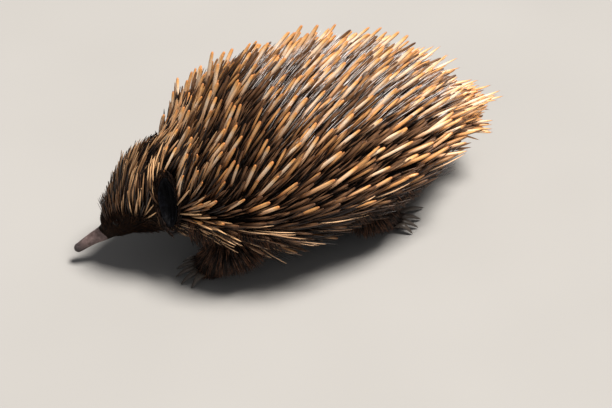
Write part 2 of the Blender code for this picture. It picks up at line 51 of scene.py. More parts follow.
# The body's middle line, and how far the body reaches from it to each side, up and down
Station = namedtuple("Station", "name x y z half_width up down")
BODY = (
    Station("beak tip", -0.2350, 0.0300, 0.0190, 0.0052, 0.0050, 0.0045),
    Station("beak middle", -0.2200, 0.0262, 0.0290, 0.0067, 0.0066, 0.0060),
    Station("beak base", -0.2050, 0.0220, 0.0378, 0.0094, 0.0098, 0.0086),
    Station("face", -0.1965, 0.0197, 0.0464, 0.0172, 0.0188, 0.0132),
    Station("eye", -0.1865, 0.0173, 0.0560, 0.0238, 0.0260, 0.0175),
    Station("brow", -0.1720, 0.0145, 0.0660, 0.0330, 0.0350, 0.0240),
    Station("ear", -0.1510, 0.0108, 0.0770, 0.0440, 0.0430, 0.0335),
    Station("neck", -0.1280, 0.0070, 0.0830, 0.0585, 0.0500, 0.0450),
    Station("shoulder", -0.1000, 0.0030, 0.0865, 0.0805, 0.0645, 0.0600),
    Station("chest", -0.0620, 0.0010, 0.0890, 0.1010, 0.0825, 0.0690),
    Station("back", -0.0150, 0.0000, 0.0900, 0.1070, 0.0885, 0.0695),
    Station("middle", 0.0350, 0.0000, 0.0905, 0.1045, 0.0845, 0.0655),
    Station("hip", 0.0900, 0.0000, 0.0880, 0.0940, 0.0710, 0.0600),
    Station("rump", 0.1350, 0.0000, 0.0820, 0.0700, 0.0520, 0.0500),
    Station("tail base", 0.1640, 0.0000, 0.0765, 0.0400, 0.0310, 0.0310),
    Station("tail end", 0.1900, 0.0000, 0.0720, 0.0160, 0.0140, 0.0130),
)
SKIN_IN = (("beak base", 0.0), ("face", 0.0006), ("ear", 0.0012), ("neck", 0.0018), ("tail end", 0.0018))
SKIN_SIDES = 176
SKIN_ROWS = (
    ("beak base", 0.0007),
    ("eye", 0.0006),
    ("brow", 0.0012),
    ("neck", 0.0016),
    ("chest", 0.0040),
    ("tail end", 0.0040),
)

# Spines, at these angles from the middle of the back: lengths in mm, turns towards the ridge, rises, reach
ROUND_ANGLES = (0, 30, 60, 90, 115)
LENGTHS = (
    ("eye", (12, 12, 11, 9, 7)),
    ("brow", (20, 20, 18, 14, 10)),
    ("ear", (30, 30, 27, 21, 15)),
    ("neck", (45, 44, 39, 31, 26)),
    ("shoulder", (48, 47, 44, 38, 36)),
    ("chest", (54, 53, 50, 42, 40)),
    ("middle", (57, 56, 53, 43, 35)),
    ("hip", (57, 57, 54, 44, 30)),
    ("rump", (58, 58, 56, 42, 26)),
    ("tail base", (66, 66, 62, 48, 33)),
)
TURNS = (
    ("brow", (0, 26, 58, -10, -50)),
    ("ear", (0, 28, 62, -15, -55)),
    ("neck", (0, 30, 58, 5, -55)),
    ("shoulder", (0, 28, 50, 16, -50)),
    ("chest", (0, 26, 42, 24, -36)),
    ("middle", (0, 20, 28, 20, -14)),
    ("hip", (0, 14, 20, 16, 5)),
    ("tail base", (0, 5, 8, 5, 0)),
)
RISES = (
    ("eye", (30, 28, 22, 17, 16)),
    ("brow", (25, 24, 20, 17, 16)),
    ("ear", (18, 18, 18, 17, 15)),
    ("neck", (37, 33, 26, 20, 14)),
    ("shoulder", (35, 34, 29, 20, 15)),
    ("chest", (45, 42, 30, 20, 14)),
    ("middle", (50, 47, 32, 20, 13)),
    ("hip", (56, 52, 33, 19, 13)),
    ("rump", (56, 54, 42, 28, 18)),
    ("tail base", (38, 43, 46, 46, 30)),
)
WIDEST = (
    ("eye", 40),
    ("brow", 70),
    ("ear", 92),
    ("neck", 112),
    ("shoulder", 124),
    ("chest", 120),
    ("middle", 118),
    ("rump", 122),
    ("tail base", 150),
)

# The rings of a strand: place along it, and share of its full thickness
SPINE_SHAPE = ((0.0, 0.80), (0.20, 0.92), (0.45, 1.0), (0.76, 1.0), (0.90, 0.93), (0.96, 0.78), (0.99, 0.48))
TUFT_SHAPE = ((0.0, 0.66), (0.20, 0.88), (0.40, 1.0), (0.60, 0.92), (0.80, 0.62), (0.93, 0.28))
BRISTLE_SHAPE = ((0.0, 0.7), (0.3, 0.95), (0.62, 1.0), (0.86, 0.70), (0.96, 0.36))
HAIR_SHAPE = ((0.0, 0.8), (0.35, 1.0), (0.75, 0.65))

# Each kind of spine and hair: how far apart and how thick, read along the body, share of the full length,
# scatter and more rise in degrees, how far it bends round the body, the tones it takes, the share of its
# length that it loses where it points down, the shape and the sides of its strands
Kind = namedtuple("Kind", "gaps radii shares scatter more_rise hugs tones shorter_down shape sides")
STRONG = Kind(
    (("ear", 0.0105), ("neck", 0.0115), ("shoulder", 0.0155), ("chest", 0.0200), ("middle", 0.0205), ("rump", 0.0165)),
    (("ear", 0.0014), ("neck", 0.0018), ("shoulder", 0.0019), ("chest", 0.0020), ("middle", 0.0020), ("rump", 0.0020)),
    (("neck", 1.06),), 4.5, 2.0, (("neck", 0.10),), (0.0, 0.46), 0.0, SPINE_SHAPE, 8,
)
REAR = Kind(
    (("hip", 0.0160), ("rump", 0.0125), ("tail end", 0.0088)),
    (("hip", 0.0022), ("tail end", 0.0020)),
    (("hip", 1.06),), 9.0, 3.0, (("hip", 0.05),), (0.0, 0.50), 0.0, TUFT_SHAPE, 8,
)
# Medium and thin spines take brown tones, partly their own colour and partly painted shade of the layer under the
# strong spines
MEDIUM = Kind(
    (("neck", 0.0086), ("shoulder", 0.0104), ("chest", 0.0116), ("middle", 0.0122), ("rump", 0.0106), ("tail end", 0.008)),
    (("neck", 0.0011), ("shoulder", 0.0014), ("chest", 0.0016), ("middle", 0.0016), ("tail end", 0.0015)),
    (("neck", 0.90),), 5.0, -4.0, (("neck", 0.12),), (0.45, 1.0), 0.0, SPINE_SHAPE, 7,
)
THIN = Kind(
    (("neck", 0.0052), ("shoulder", 0.0060), ("chest", 0.0066), ("middle", 0.0070), ("tail end", 0.0065)),
    (("neck", 0.0005), ("shoulder", 0.0007), ("middle", 0.0008), ("tail end", 0.0009)),
    (("neck", 0.82),), 5.0, -7.0, (("neck", 0.14),), (0.72, 1.0), 0.0, BRISTLE_SHAPE, 5,
)
BRISTLES = Kind(
    (("face", 0.0021), ("eye", 0.0023), ("brow", 0.0033), ("ear", 0.0043), ("neck", 0.0058)),
    (("face", 0.00022), ("eye", 0.00038), ("brow", 0.00068), ("ear", 0.00092), ("neck", 0.00120)),
    (("eye", 1.50), ("brow", 1.95), ("ear", 1.55), ("neck", 1.10)), 3.5, 4.0, (("brow", 0.42), ("ear", 0.36), ("neck", 0.12)), (0.0, 1.0), 0.60, BRISTLE_SHAPE, 5,
)
SKIRT = Kind(
    (("ear", 0.0046), ("neck", 0.0048), ("back", 0.0060), ("middle", 0.0072), ("rump", 0.0080)),
    (("ear", 0.00060), ("neck", 0.00090), ("back", 0.00098), ("rump", 0.00088)),
    (("neck", 1.32),), 6.0, 2.0, (("neck", 0.14),), (0.0, 1.0), 0.0, BRISTLE_SHAPE, 5,
)
# Pale hair on the top of the back: painted highlights, standing for glints of light on the dark fur
PALE = Kind(
    (("neck", 0.0060), ("shoulder", 0.0050), ("middle", 0.0041), ("tail end", 0.0044)),
    (("neck", 0.00024), ("middle", 0.00032), ("tail end", 0.00032)),
    (("neck", 0.84),), 4.0, 0.0, (("neck", 0.14),), (0.30, 1.0), 0.0, HAIR_SHAPE, 3,
)
COAT = Kind(
    (("eye", 0.0015), ("brow", 0.0017), ("ear", 0.0019), ("neck", 0.0021), ("chest", 0.0023), ("tail end", 0.0024)),
    (("eye", 0.00018), ("brow", 0.00024), ("ear", 0.0003), ("neck", 0.00038), ("chest", 0.00044), ("tail end", 0.00044)),
    (("brow", 0.75), ("neck", 0.60)), 4.0, -6.0, (("neck", 0.25),), (0.0, 0.80), 0.0, HAIR_SHAPE, 3,
)
FACE_GAPS = (("beak middle", 0.0010), ("beak base", 0.0010), ("eye", 0.0012), ("brow", 0.0016), ("ear", 0.0022), ("tail end", 0.0040))
FACE_RADII = (("beak base", 0.00014), ("eye", 0.00017), ("brow", 0.00021), ("ear", 0.00028), ("tail end", 0.00045))

# Head
EAR_HEIGHT, EAR_WIDTH = 0.056, 0.0212
EAR_LEAN = math.radians(15)
EAR_ANGLE = math.radians(62)
EAR_BEHIND = 0.010
PARTING, PART_REACH, PART_FADE, PART_STEEP, PART_BACK = 0.10, 2.6, 1.3, 6.0, 0.22
PART_OVER, STOOD_UP = 0.30, 0.25
EYE_RADIUS = 0.0042
EYE_ANGLE = math.radians(58)
EYE_AHEAD = 0.002
EYE_SUNK = 0.0012
OPENING = (0.0034, 0.0019)
LID = 0.0007
MOUTH_LENGTH, MOUTH_BELOW, MOUTH_DEPTH, MOUTH_WIDTH = 0.013, 0.0012, 0.0008, 0.00035
NOSTRIL_BACK, NOSTRIL_ANGLE = 0.0022, math.radians(32)

# Legs
Leg = namedtuple("Leg", "x side out heading balls foot claws")
Claw = namedtuple("Claw", "turn reach")
FORE_BALLS = ((-0.034, 0.046, 0.070, 0.034), (-0.020, 0.064, 0.045, 0.026), (-0.002, 0.054, 0.021, 0.0175))
HIND_BALLS = ((0.014, 0.046, 0.066, 0.037), (0.024, 0.066, 0.043, 0.027), (0.006, 0.060, 0.020, 0.0160))
FORE_FOOT, HIND_FOOT = (0.038, 0.037, 0.024), (0.044, 0.031, 0.022)
FOOT_MIDDLE = 0.37
FORE_CLAWS = (Claw(-32, 0.010), Claw(-15, 0.017), Claw(0, 0.020), Claw(15, 0.018), Claw(32, 0.011))
HIND_CLAWS = (Claw(-34, 0.009), Claw(-17, 0.015), Claw(0, 0.021), Claw(18, 0.031), Claw(37, 0.008))
CLAW_RADIUS, CLAW_TIP, CLAW_FLAT, CLAW_ARCH = 0.0035, 0.0007, 0.70, 0.004
CLAW_ROOT, CLAW_SPREAD = 0.24, 0.55
LEGS = {
    "foreleg_left": Leg(-0.114, -1, 0.045, (-1.0, 0.15), FORE_BALLS, FORE_FOOT, FORE_CLAWS),
    "foreleg_right": Leg(-0.066, 1, 0.050, (-1.0, -0.15), FORE_BALLS, FORE_FOOT, FORE_CLAWS),
    "hindleg_left": Leg(0.086, -1, 0.057, (0.98, -0.20), HIND_BALLS, HIND_FOOT, HIND_CLAWS),
    "hindleg_right": Leg(0.112, 1, 0.057, (0.98, 0.20), HIND_BALLS, HIND_FOOT, HIND_CLAWS),
}
LEG_IN = 0.0016

FUR_AHEAD, FUR_SLANTS = 0.0020, (0.30, 0.95)  # of the beak's base, and more above it
PATCH = 0.003  # across, of a hair's or spine's place in the unwrap


def unit(vectors):
    return vectors / np.linalg.norm(vectors, axis=-1, keepdims=True)


def dot(a, b):
    return np.sum(a * b, axis=-1, keepdims=True)


def smooth_slopes(at, values):
    """Slopes for a curve through the values that never overshoots them."""
    steps = np.diff(at)
    rises = np.diff(values) / steps
    slopes = np.zeros(len(values))
    for i in range(1, len(values) - 1):
        if rises[i - 1] * rises[i] > 0:
            before, after = 2 * steps[i] + steps[i - 1], steps[i] + 2 * steps[i - 1]
            slopes[i] = (before + after) / (before / rises[i - 1] + after / rises[i])
    slopes[0], slopes[-1] = rises[0], rises[-1]
    return slopes


class Form:
    """The body's smooth form. u runs along the middle line from the beak's tip, in metres, and an angle
    of 0 is the middle of the back, negative on the animal's left. All of it takes arrays."""

    def __init__(self, stations):
        self.rows = np.array([station[1:] for station in stations])
        steps = np.linalg.norm(np.diff(self.rows[:, :3], axis=0), axis=1)
        self.at = np.concatenate([[0.0], np.cumsum(steps)])
        self.slopes = np.array([smooth_slopes(self.at, column) for column in self.rows.T]).T
        self.place = {station.name: u for station, u in zip(stations, self.at)}
        self.shift = np.zeros(3)

    def read(self, u):
        u = np.asarray(u, float)
        i = np.clip(np.searchsorted(self.at, u) - 1, 0, len(self.at) - 2)
        step = (self.at[i + 1] - self.at[i])[..., None]
        t = (u - self.at[i])[..., None] / step
        return (
            self.rows[i] * (1 + 2 * t) * (1 - t) ** 2
            + self.slopes[i] * step * t * (1 - t) ** 2
            + self.rows[i + 1] * t**2 * (3 - 2 * t)
            + self.slopes[i + 1] * step * t**2 * (t - 1)
        )

    def frame(self, u):
        near = 0.001
        along = unit(self.read(u + near)[..., :3] - self.read(u - near)[..., :3])
        right = unit(np.cross(np.array([0.0, 0.0, 1.0]), along))
        return self.read(u)[..., :3] + self.shift, along, right, np.cross(along, right)

    def point(self, u, angle, grow=0.0, share=1.0):
        size = self.read(u)[..., 3:]
        centre, _, right, above = self.frame(u)
        height = np.where(np.cos(angle) > 0, size[..., 1], size[..., 2])
        across = (size[..., 0] + grow) * np.sin(angle)
        return centre + np.asarray(share)[..., None] * (
            right * across[..., None] + above * ((height + grow) * np.cos(angle))[..., None]
        )

    def normal(self, u, angle):
        near, turn = 0.001, 0.02
        along = self.point(u + near, angle) - self.point(u - near, angle)
        around = self.point(u, angle + turn) - self.point(u, angle - turn)
        return unit(np.cross(along, around))


def read_table(form, rows, u, angle=None):
    """A value read along the body, and round it where the rows hold a value for each of ROUND_ANGLES."""
    places = [form.place[name] for name, _ in rows]
    if angle is None:
        return np.interp(u, places, [value for _, value in rows])
    columns = np.array([np.interp(u, places, column) for column in np.array([row for _, row in rows]).T])
    known = np.array(ROUND_ANGLES, float)
    turn = np.degrees(np.abs((angle + math.pi) % (2 * math.pi) - math.pi))
    k = np.clip(np.searchsorted(known, turn) - 1, 0, len(known) - 2)
    share = np.clip((turn - known[k]) / (known[k + 1] - known[k]), 0, 1)
    each = np.arange(len(turn))
    return columns[k, each] * (1 - share) + columns[k + 1, each] * share


def outward_axes(form, u, angle):
    """Backwards, up the side and straight out, at one place on the body."""
    out = form.normal(u, angle)
    _, along, _, _ = form.frame(u)
    back = unit(along - out * dot(along, out))
    upwards = np.cross(out, back)
    return back, upwards * (1 if upwards[2] > 0 else -1), out


def eye_centre(form, side):
    u, angle = form.place["eye"] - EYE_AHEAD, side * EYE_ANGLE
    return form.point(u, angle) - form.normal(u, angle) * EYE_SUNK


def ear_axes(form, side):
    """The ear's middle, backwards, up and out, with its lean."""
    u, angle = form.place["ear"] + EAR_BEHIND, side * EAR_ANGLE
    back, upwards, out = outward_axes(form, u, angle)
    lean = np.array(Matrix.Rotation(EAR_LEAN * side, 3, Vector(out)))
    return form.point(u, angle), lean @ back, lean @ upwards, out


def new_object(name, points, faces, look=None):
    mesh = bpy.data.meshes.new(name)
    mesh.from_pydata([tuple(p) for p in points], [], faces)
    if look:
        mesh.materials.append(look)
    obj = bpy.data.objects.new(name, mesh)
    bpy.context.scene.collection.objects.link(obj)
    return obj


def ring_faces(rows, sides, caps=True):
    """Faces of a closed skin over rings of points."""
    faces = [
        (row * sides + i, row * sides + (i + 1) % sides, (row + 1) * sides + (i + 1) % sides, (row + 1) * sides + i)
        for row in range(rows - 1)
        for i in range(sides)
    ]
    if caps:
        faces += [tuple(reversed(range(sides))), tuple(range((rows - 1) * sides, rows * sides))]
    return faces


def face_outwards(obj):
    edited = bmesh.new()
    edited.from_mesh(obj.data)
    edited.normal_update()
    bmesh.ops.recalc_face_normals(edited, faces=edited.faces)
    if edited.calc_volume(signed=True) < 0:
        bmesh.ops.reverse_faces(edited, faces=edited.faces)
    edited.to_mesh(obj.data)
    edited.free()


def dent_eyes(form, points):
    """Lids raised round each eye, with an opening between them."""
    for side in (-1, 1):
        u, angle = form.place["eye"] - EYE_AHEAD, side * EYE_ANGLE
        back, upwards, out = outward_axes(form, u, angle)
        off = points - eye_centre(form, side)
        far = np.linalg.norm(off, axis=-1)
        x, y, z = off @ back, off @ upwards, off @ out
        near = (far < EYE_RADIUS * 2.2) & (z > -EYE_RADIUS)
        lifted = np.maximum(far, EYE_RADIUS + LID) + 0.0007 * np.exp(-(((far - EYE_RADIUS - 0.0022) / 0.0012) ** 2))
        gape = (x / OPENING[0]) ** 2 + (y / (OPENING[1] * (1 - 0.25 * np.clip(x / OPENING[0], -1, 1) ** 2))) ** 2
        open_share = np.clip((1.25 - gape) / 0.3, 0, 1)
        wanted = lifted * (1 - open_share) + (EYE_RADIUS - 0.0011) * open_share
        scale = np.where(near, wanted / np.maximum(far, 1e-6), 1.0)
        points = eye_centre(form, side) + off * scale[..., None]
    return points


def dent_ears(form, points):
    """The skin falls away under each ear, and folds up in front of it and behind."""
    for side in (-1, 1):
        middle, back, upwards, out = ear_axes(form, side)
        off = points - middle
        share = np.hypot(off @ back / (EAR_WIDTH / 2), off @ upwards / (EAR_HEIGHT / 2))
        depth = np.interp(share, (0.55, 0.85, 1.0, 1.16, 1.5), (-0.0112, -0.0095, -0.0030, 0.0008, 0.0))
        near = (off @ out > -0.02) & (share < 1.5)
        points = points + out * np.where(near, depth, 0.0)[..., None]
    return points


def dent_beak(form, u, points):
    """The line of the mouth and the nostrils."""
    centre, _, _, above = form.frame(u)
    height = np.sum((points - centre) * above, axis=-1)
    fade = np.clip((MOUTH_LENGTH + 0.001 - u) / 0.002, 0, 1)
    groove = MOUTH_DEPTH * fade * np.exp(-(((height + MOUTH_BELOW) / MOUTH_WIDTH) ** 2))
    points = points + unit(centre - points) * groove[..., None]
    for side in (-1, 1):
        place = form.point(NOSTRIL_BACK, side * NOSTRIL_ANGLE)
        off = points - place
        _, along, right, _ = form.frame(NOSTRIL_BACK)
        size = np.sqrt((off @ along / 0.0015) ** 2 + (dot(off, off)[..., 0] - (off @ along) ** 2) / 0.0007**2)
        points = points + unit(centre - points) * (0.0009 * np.exp(-(size**2)))[..., None]
    return points


def skin_rows(form):
    """Places of the skin's rings, close together on the head."""
    found = [0.0]
    while found[-1] < form.at[-1]:
        found.append(found[-1] + float(read_table(form, SKIN_ROWS, found[-1])))
    found[-1] = form.at[-1]
    return np.array(found)


def body_unwrap(form, u, angle):
    """The place in the unwrap of a place on the body."""
    turn = (angle + math.pi) % (2 * math.pi)
    return np.stack([0.02 + 0.96 * u / form.at[-1], 0.02 + 0.70 * turn / (2 * math.pi)], axis=-1)


def leg_unwrap(index, leg, shift, points):
    """The place in the unwrap of a place on a leg, by its direction from the leg's middle."""
    middle = np.array([leg.x - leg.balls[1][0], leg.side * leg.balls[1][1], leg.balls[1][2]]) + shift
    way = unit(np.asarray(points) - middle)
    turn = (np.arctan2(way[..., 1], way[..., 0]) + math.pi) / (2 * math.pi)
    tilt = np.arccos(np.clip(way[..., 2], -1, 1)) / math.pi
    return np.stack([0.02 + 0.245 * index + 0.22 * turn, 0.76 + 0.22 * tilt], axis=-1)


def make_body(form, look):
    """The skin of beak, head, trunk and tail, with its place in the unwrap."""
    us = skin_rows(form)
    angles = np.linspace(-math.pi, math.pi, SKIN_SIDES + 1)[:-1]
    u, angle = np.meshgrid(us, angles, indexing="ij")
    points = form.point(u, angle, -read_table(form, SKIN_IN, u))
    points = dent_beak(form, u, points)
    points = dent_ears(form, dent_eyes(form, points))
    rings, places = [], []
    tip = form.read(0.0)[3]
    _, along, _, _ = form.frame(0.0)
    for turn in np.radians(np.arange(8, 90, 9)):
        ring = form.point(np.zeros(SKIN_SIDES), angles, 0.0, np.full(SKIN_SIDES, math.sin(turn)))
        ring = ring - along * tip * math.cos(turn)
        rings.append(dent_beak(form, np.zeros(SKIN_SIDES), ring))
        places.append(np.zeros(SKIN_SIDES))
    rings += list(points)
    places += list(u)
    _, along, _, _ = form.frame(form.at[-1])
    for turn in np.radians(np.arange(15, 90, 15)):
        end = np.full(SKIN_SIDES, form.at[-1])
        ring = form.point(end, angles, -0.0018, np.full(SKIN_SIDES, math.cos(turn)))
        rings.append(ring + along * 0.008 * math.sin(turn))
        places.append(end)
    obj = new_object("skin", np.concatenate(rings), ring_faces(len(rings), SKIN_SIDES), look)
    unwrap = obj.data.uv_layers.new(name="OFBake")
    flat_u = np.concatenate(places)
    for face in obj.data.polygons:
        for corner in face.loop_indices:
            vertex = obj.data.loops[corner].vertex_index
            side = vertex % SKIN_SIDES
            turn = angles[side]
            if side == 0 and face.vertices[0] % SKIN_SIDES == SKIN_SIDES - 1:
                turn = math.pi - 1e-6
            unwrap.data[corner].uv = body_unwrap(form, flat_u[vertex], turn)
    face_outwards(obj)
    return obj


def ball(name, centre, radii, axes=None, rows=16, sides=28):
    axes = axes if axes is not None else np.eye(3)
    mesh = bpy.data.meshes.new(name)
    edited = bmesh.new()
    bmesh.ops.create_uvsphere(edited, u_segments=sides, v_segments=rows, radius=1.0)
    for vert in edited.verts:
        vert.co = Vector(centre) + sum((Vector(axes[i]) * radii[i] * vert.co[i] for i in range(3)), Vector())
    edited.to_mesh(mesh)
    edited.free()
    obj = bpy.data.objects.new(name, mesh)
    bpy.context.scene.collection.objects.link(obj)
    face_outwards(obj)
    return obj


def tube(name, start, end, radii, sides=28):
    """A tapering length between two points."""
    along = (end - start).normalized()
    across = along.cross(Vector((1, 0, 0)) if abs(along.z) > 0.6 else Vector((0, 0, 1))).normalized()
    above = across.cross(along)
    turns = [2 * math.pi * k / sides for k in range(sides)]
    rings = [
        centre + radius * (across * math.cos(t) + above * math.sin(t))
        for centre, radius in ((start, radii[0]), (end, radii[1]))
        for t in turns
    ]
    obj = new_object(name, rings, ring_faces(2, sides))
    face_outwards(obj)
    return obj


def foot_axes(leg):
    ahead = Vector((*leg.heading, 0.0)).normalized()
    return ahead, Vector((0, 0, 1)).cross(ahead), Vector((0, 0, 1))


def leg_pieces(leg, shift):
    """Overlapping balls and lengths that fill a leg and its foot."""
    centres = [Vector((leg.x - ahead, leg.side * out, up)) + shift for ahead, out, up, _ in leg.balls]
    radii = [radius - LEG_IN for _, _, _, radius in leg.balls]
    pieces = [ball("joint", centre, [radius] * 3) for centre, radius in zip(centres, radii)]
    pieces += [tube("length", centres[i], centres[i + 1], radii[i : i + 2]) for i in range(2)]
    length, width, height = leg.foot
    centre = Vector((leg.x, leg.side * leg.out, height * FOOT_MIDDLE)) + shift
    half_size = (length / 2 - LEG_IN, width / 2 - LEG_IN, height * (1 - FOOT_MIDDLE) - LEG_IN / 2)
    pieces.append(ball("foot", centre, half_size, foot_axes(leg)))
    for claw in leg.claws:
        path = claw_path(leg, claw, shift, 6)
        pieces.append(ball("toe", path[1][0], [0.0052, 0.0042, 0.0042], (claw_way(leg, claw), *side_ways(leg, claw))))
    return pieces


def claw_way(leg, claw):
    ahead, across, _ = foot_axes(leg)
    turn = math.radians(claw.turn)
    return ahead * math.cos(turn) + across * math.sin(turn)


def side_ways(leg, claw):
    upright = Vector((0, 0, 1))
    return upright.cross(claw_way(leg, claw)), upright


def claw_path(leg, claw, shift, rows):
    """Points and radii of a claw, from inside the foot in a low arc down to the floor."""
    length, width, height = leg.foot
    ahead, across, _ = foot_axes(leg)
    sole = Vector((leg.x, leg.side * leg.out, 0)) + shift
    root = sole + ahead * length * CLAW_ROOT + across * math.sin(math.radians(claw.turn)) * width * CLAW_SPREAD
    high, low = height * 0.34, CLAW_RADIUS * 0.5
    full = claw.reach + length * (0.5 - CLAW_ROOT)
    path = []
    for row in range(rows + 1):
        t = row / rows
        centre = root + claw_way(leg, claw) * full * t
        centre.z = high + (low - high) * t**1.5 + CLAW_ARCH * math.sin(math.pi * t)
        path.append((centre, CLAW_RADIUS * (1 - t**2.6) + CLAW_TIP * (0.6 if row == rows else 1)))
    return path


def make_leg(name, index, leg, shift):
    """One smooth surface of leg and foot, flat where it stands, with its place in the unwrap."""
    edited = bmesh.new()
    for piece in leg_pieces(leg, shift):
        edited.from_mesh(piece.data)
        bpy.data.objects.remove(piece)
    mesh = bpy.data.meshes.new(name)
    edited.to_mesh(mesh)
    edited.free()
    obj = bpy.data.objects.new(name, mesh)
    bpy.context.scene.collection.objects.link(obj)
    remesh = obj.modifiers.new("remesh", "REMESH")
    remesh.mode = "VOXEL"
    remesh.voxel_size = 0.0023
    smooth = obj.modifiers.new("smooth", "SMOOTH")
    smooth.iterations = 5
    obj.data = bpy.data.meshes.new_from_object(obj.evaluated_get(bpy.context.evaluated_depsgraph_get()))
    obj.modifiers.clear()
    for vert in obj.data.vertices:
        vert.co.z = max(vert.co.z, 0.0)
    unwrap = obj.data.uv_layers.new(name="OFBake")
    for face in obj.data.polygons:
        places = leg_unwrap(index, leg, np.array(shift), [obj.data.vertices[v].co for v in face.vertices])
        if np.ptp(places[:, 0]) > 0.11:
            places[:, 0] = np.where(places[:, 0] < places[:, 0].max() - 0.11, places[:, 0] + 0.22, places[:, 0])
        for corner, place in zip(face.loop_indices, places):
            unwrap.data[corner].uv = place
    return obj


def join_solid(obj, others):
    """A Boolean union with the others, applied."""
    group = bpy.data.collections.new("operands")
    bpy.context.scene.collection.children.link(group)
    for other in others:
        group.objects.link(other)
    modifier = obj.modifiers.new("union", "BOOLEAN")
    modifier.operation = "UNION"
    modifier.operand_type = "COLLECTION"
    modifier.collection = group
    modifier.solver = "EXACT"
    obj.data = bpy.data.meshes.new_from_object(obj.evaluated_get(bpy.context.evaluated_depsgraph_get()))
    obj.modifiers.clear()
    for other in others:
        bpy.data.objects.remove(other)
    bpy.data.collections.remove(group)


def soften_joins(obj, form, shift):
    """Smooths the skin where the legs leave the body."""
    edited = bmesh.new()
    edited.from_mesh(obj.data)
    near = []
    tree = BVHTree.FromBMesh(edited)
    for vert in edited.verts:
        if vert.co.z < 0.10 and len(vert.link_faces) > 4:
            near.append(vert)
    zone = set(near)
    for _ in range(4):
        zone |= {edge.other_vert(vert) for vert in zone for edge in vert.link_edges}
    zone = [vert for vert in zone if vert.co.z > 0.004 and vert.co.x > shift[0] - 0.15]
    for _ in range(6):
        bmesh.ops.smooth_vert(edited, verts=zone, factor=0.5, use_axis_x=True, use_axis_y=True, use_axis_z=True)
    edited.to_mesh(obj.data)
    edited.free()


def node_maker(name):
    """A material with its shader, and a function that adds a node with its inputs set or linked."""
    made = bpy.data.materials.new(name)
    made.use_nodes = True
    tree = made.node_tree
    shader = tree.nodes["Principled BSDF"]

    def add(kind, settings=None, **inputs):
        node = tree.nodes.new(kind)
        for key, value in (settings or {}).items():
            setattr(node, key, value)
        for key, value in inputs.items():
            socket = node.inputs[int(key[1:])] if key[0] == "i" and key[1:].isdigit() else node.inputs[key.replace("_", " ")]
            if isinstance(value, bpy.types.NodeSocket):
                tree.links.new(value, socket)
            else:
                socket.default_value = value
        return node

    return made, tree, shader, add


def ramp(add, factor, stops):
    """A colour ramp with (place, colour) stops."""
    node = add("ShaderNodeValToRGB", i0=factor)
    band = node.color_ramp
    while len(band.elements) < len(stops):
        band.elements.new(0.5)
    for element, (place, colour) in zip(band.elements, stops):
        element.position = place
        element.color = (*colour, 1.0)
    return node.outputs["Color"]


def mix(add, factor, a, b, blend="MIX"):
    node = add("ShaderNodeMix", {"data_type": "RGBA", "blend_type": blend}, i0=factor)
    for socket, value in ((node.inputs[6], a), (node.inputs[7], b)):
        if isinstance(value, bpy.types.NodeSocket):
            node.id_data.links.new(value, socket)
        else:
            socket.default_value = (*value, 1.0)
    return node.outputs[2]


def trait(add, name):
    return add("ShaderNodeAttribute", {"attribute_name": name}).outputs["Fac"]


def noise(add, scale, detail=3.0, stretch=(1, 1, 1)):
    place = add("ShaderNodeTexCoord").outputs["Object"]
    if stretch != (1, 1, 1):
        mapping = add("ShaderNodeMapping", Vector=place)
        mapping.inputs["Scale"].default_value = stretch
        place = mapping.outputs["Vector"]
    return add("ShaderNodeTexNoise", Vector=place, Scale=scale, Detail=detail).outputs["Fac"]


def bump(add, shader, tree, height, strength, distance):
    node = add("ShaderNodeBump", Height=height)
    node.inputs["Strength"].default_value = strength
    node.inputs["Distance"].default_value = distance
    tree.links.new(node.outputs["Normal"], shader.inputs["Normal"])


def skin_look():
    made, tree, shader, add = node_maker("skin")
    hide = ramp(add, noise(add, 260, 4), [(0.3, (0.10, 0.064, 0.060)), (0.55, (0.185, 0.126, 0.118)), (0.8, (0.29, 0.212, 0.202))])
    tip = mix(add, trait(add, "tip"), hide, (0.045, 0.034, 0.034))
    furred = ramp(add, noise(add, 420, 3), [(0.3, (0.005, 0.003, 0.002)), (0.7, (0.018, 0.009, 0.005))])
    edge = add("ShaderNodeMath", {"operation": "MULTIPLY_ADD"}, i0=noise(add, 900, 2), i1=0.5, i2=trait(add, "bare"))
    cover = ramp(add, edge.outputs[0], [(0.62, (0, 0, 0)), (0.82, (1, 1, 1))])
    colour = mix(add, cover, furred, tip)
    tree.links.new(colour, shader.inputs["Base Color"])
    shine = ramp(add, cover, [(0.0, (0.05, 0.05, 0.05)), (1.0, (0.45, 0.45, 0.45))])
    tree.links.new(shine, shader.inputs["Specular IOR Level"])
    shader.inputs["Roughness"].default_value = 0.62
    rough = add("ShaderNodeMath", {"operation": "ADD"}, i0=noise(add, 1500, 3), i1=noise(add, 380, 2))
    bump(add, shader, tree, rough.outputs[0], 0.5, 0.0006)
    return made


# Shares of pale bristles on the head, and on the skirt from the neck to the chest; the skirt's many pale ones at the
# neck are partly painted light under the ears
PALE_HEAD, PALE_SKIRT = 0.52, (0.50, 0.08)

# Colours of the spines, from root to tip
CREAM = (
    (0.0, (0.020, 0.010, 0.006)),
    (0.12, (0.070, 0.032, 0.014)),
    (0.22, (0.40, 0.175, 0.070)),
    (0.33, (0.90, 0.55, 0.31)),
    (0.74, (1.0, 0.77, 0.55)),
    (0.89, (0.96, 0.52, 0.19)),
    (1.0, (0.55, 0.20, 0.050)),
)
ORANGE = (
    (0.0, (0.016, 0.007, 0.004)),
    (0.16, (0.070, 0.026, 0.009)),
    (0.34, (0.42, 0.165, 0.054)),
    (0.62, (0.80, 0.39, 0.14)),
    (0.86, (0.90, 0.47, 0.17)),
    (1.0, (0.38, 0.13, 0.038)),
)
# Brown spines: partly their own colour, partly painted shade of the lower layer under the bright spines
BROWN = (
    (0.0, (0.006, 0.0035, 0.003)),
    (0.24, (0.018, 0.009, 0.005)),
    (0.50, (0.055, 0.026, 0.013)),
    (0.82, (0.200, 0.104, 0.054)),
    (1.0, (0.080, 0.036, 0.018)),
)


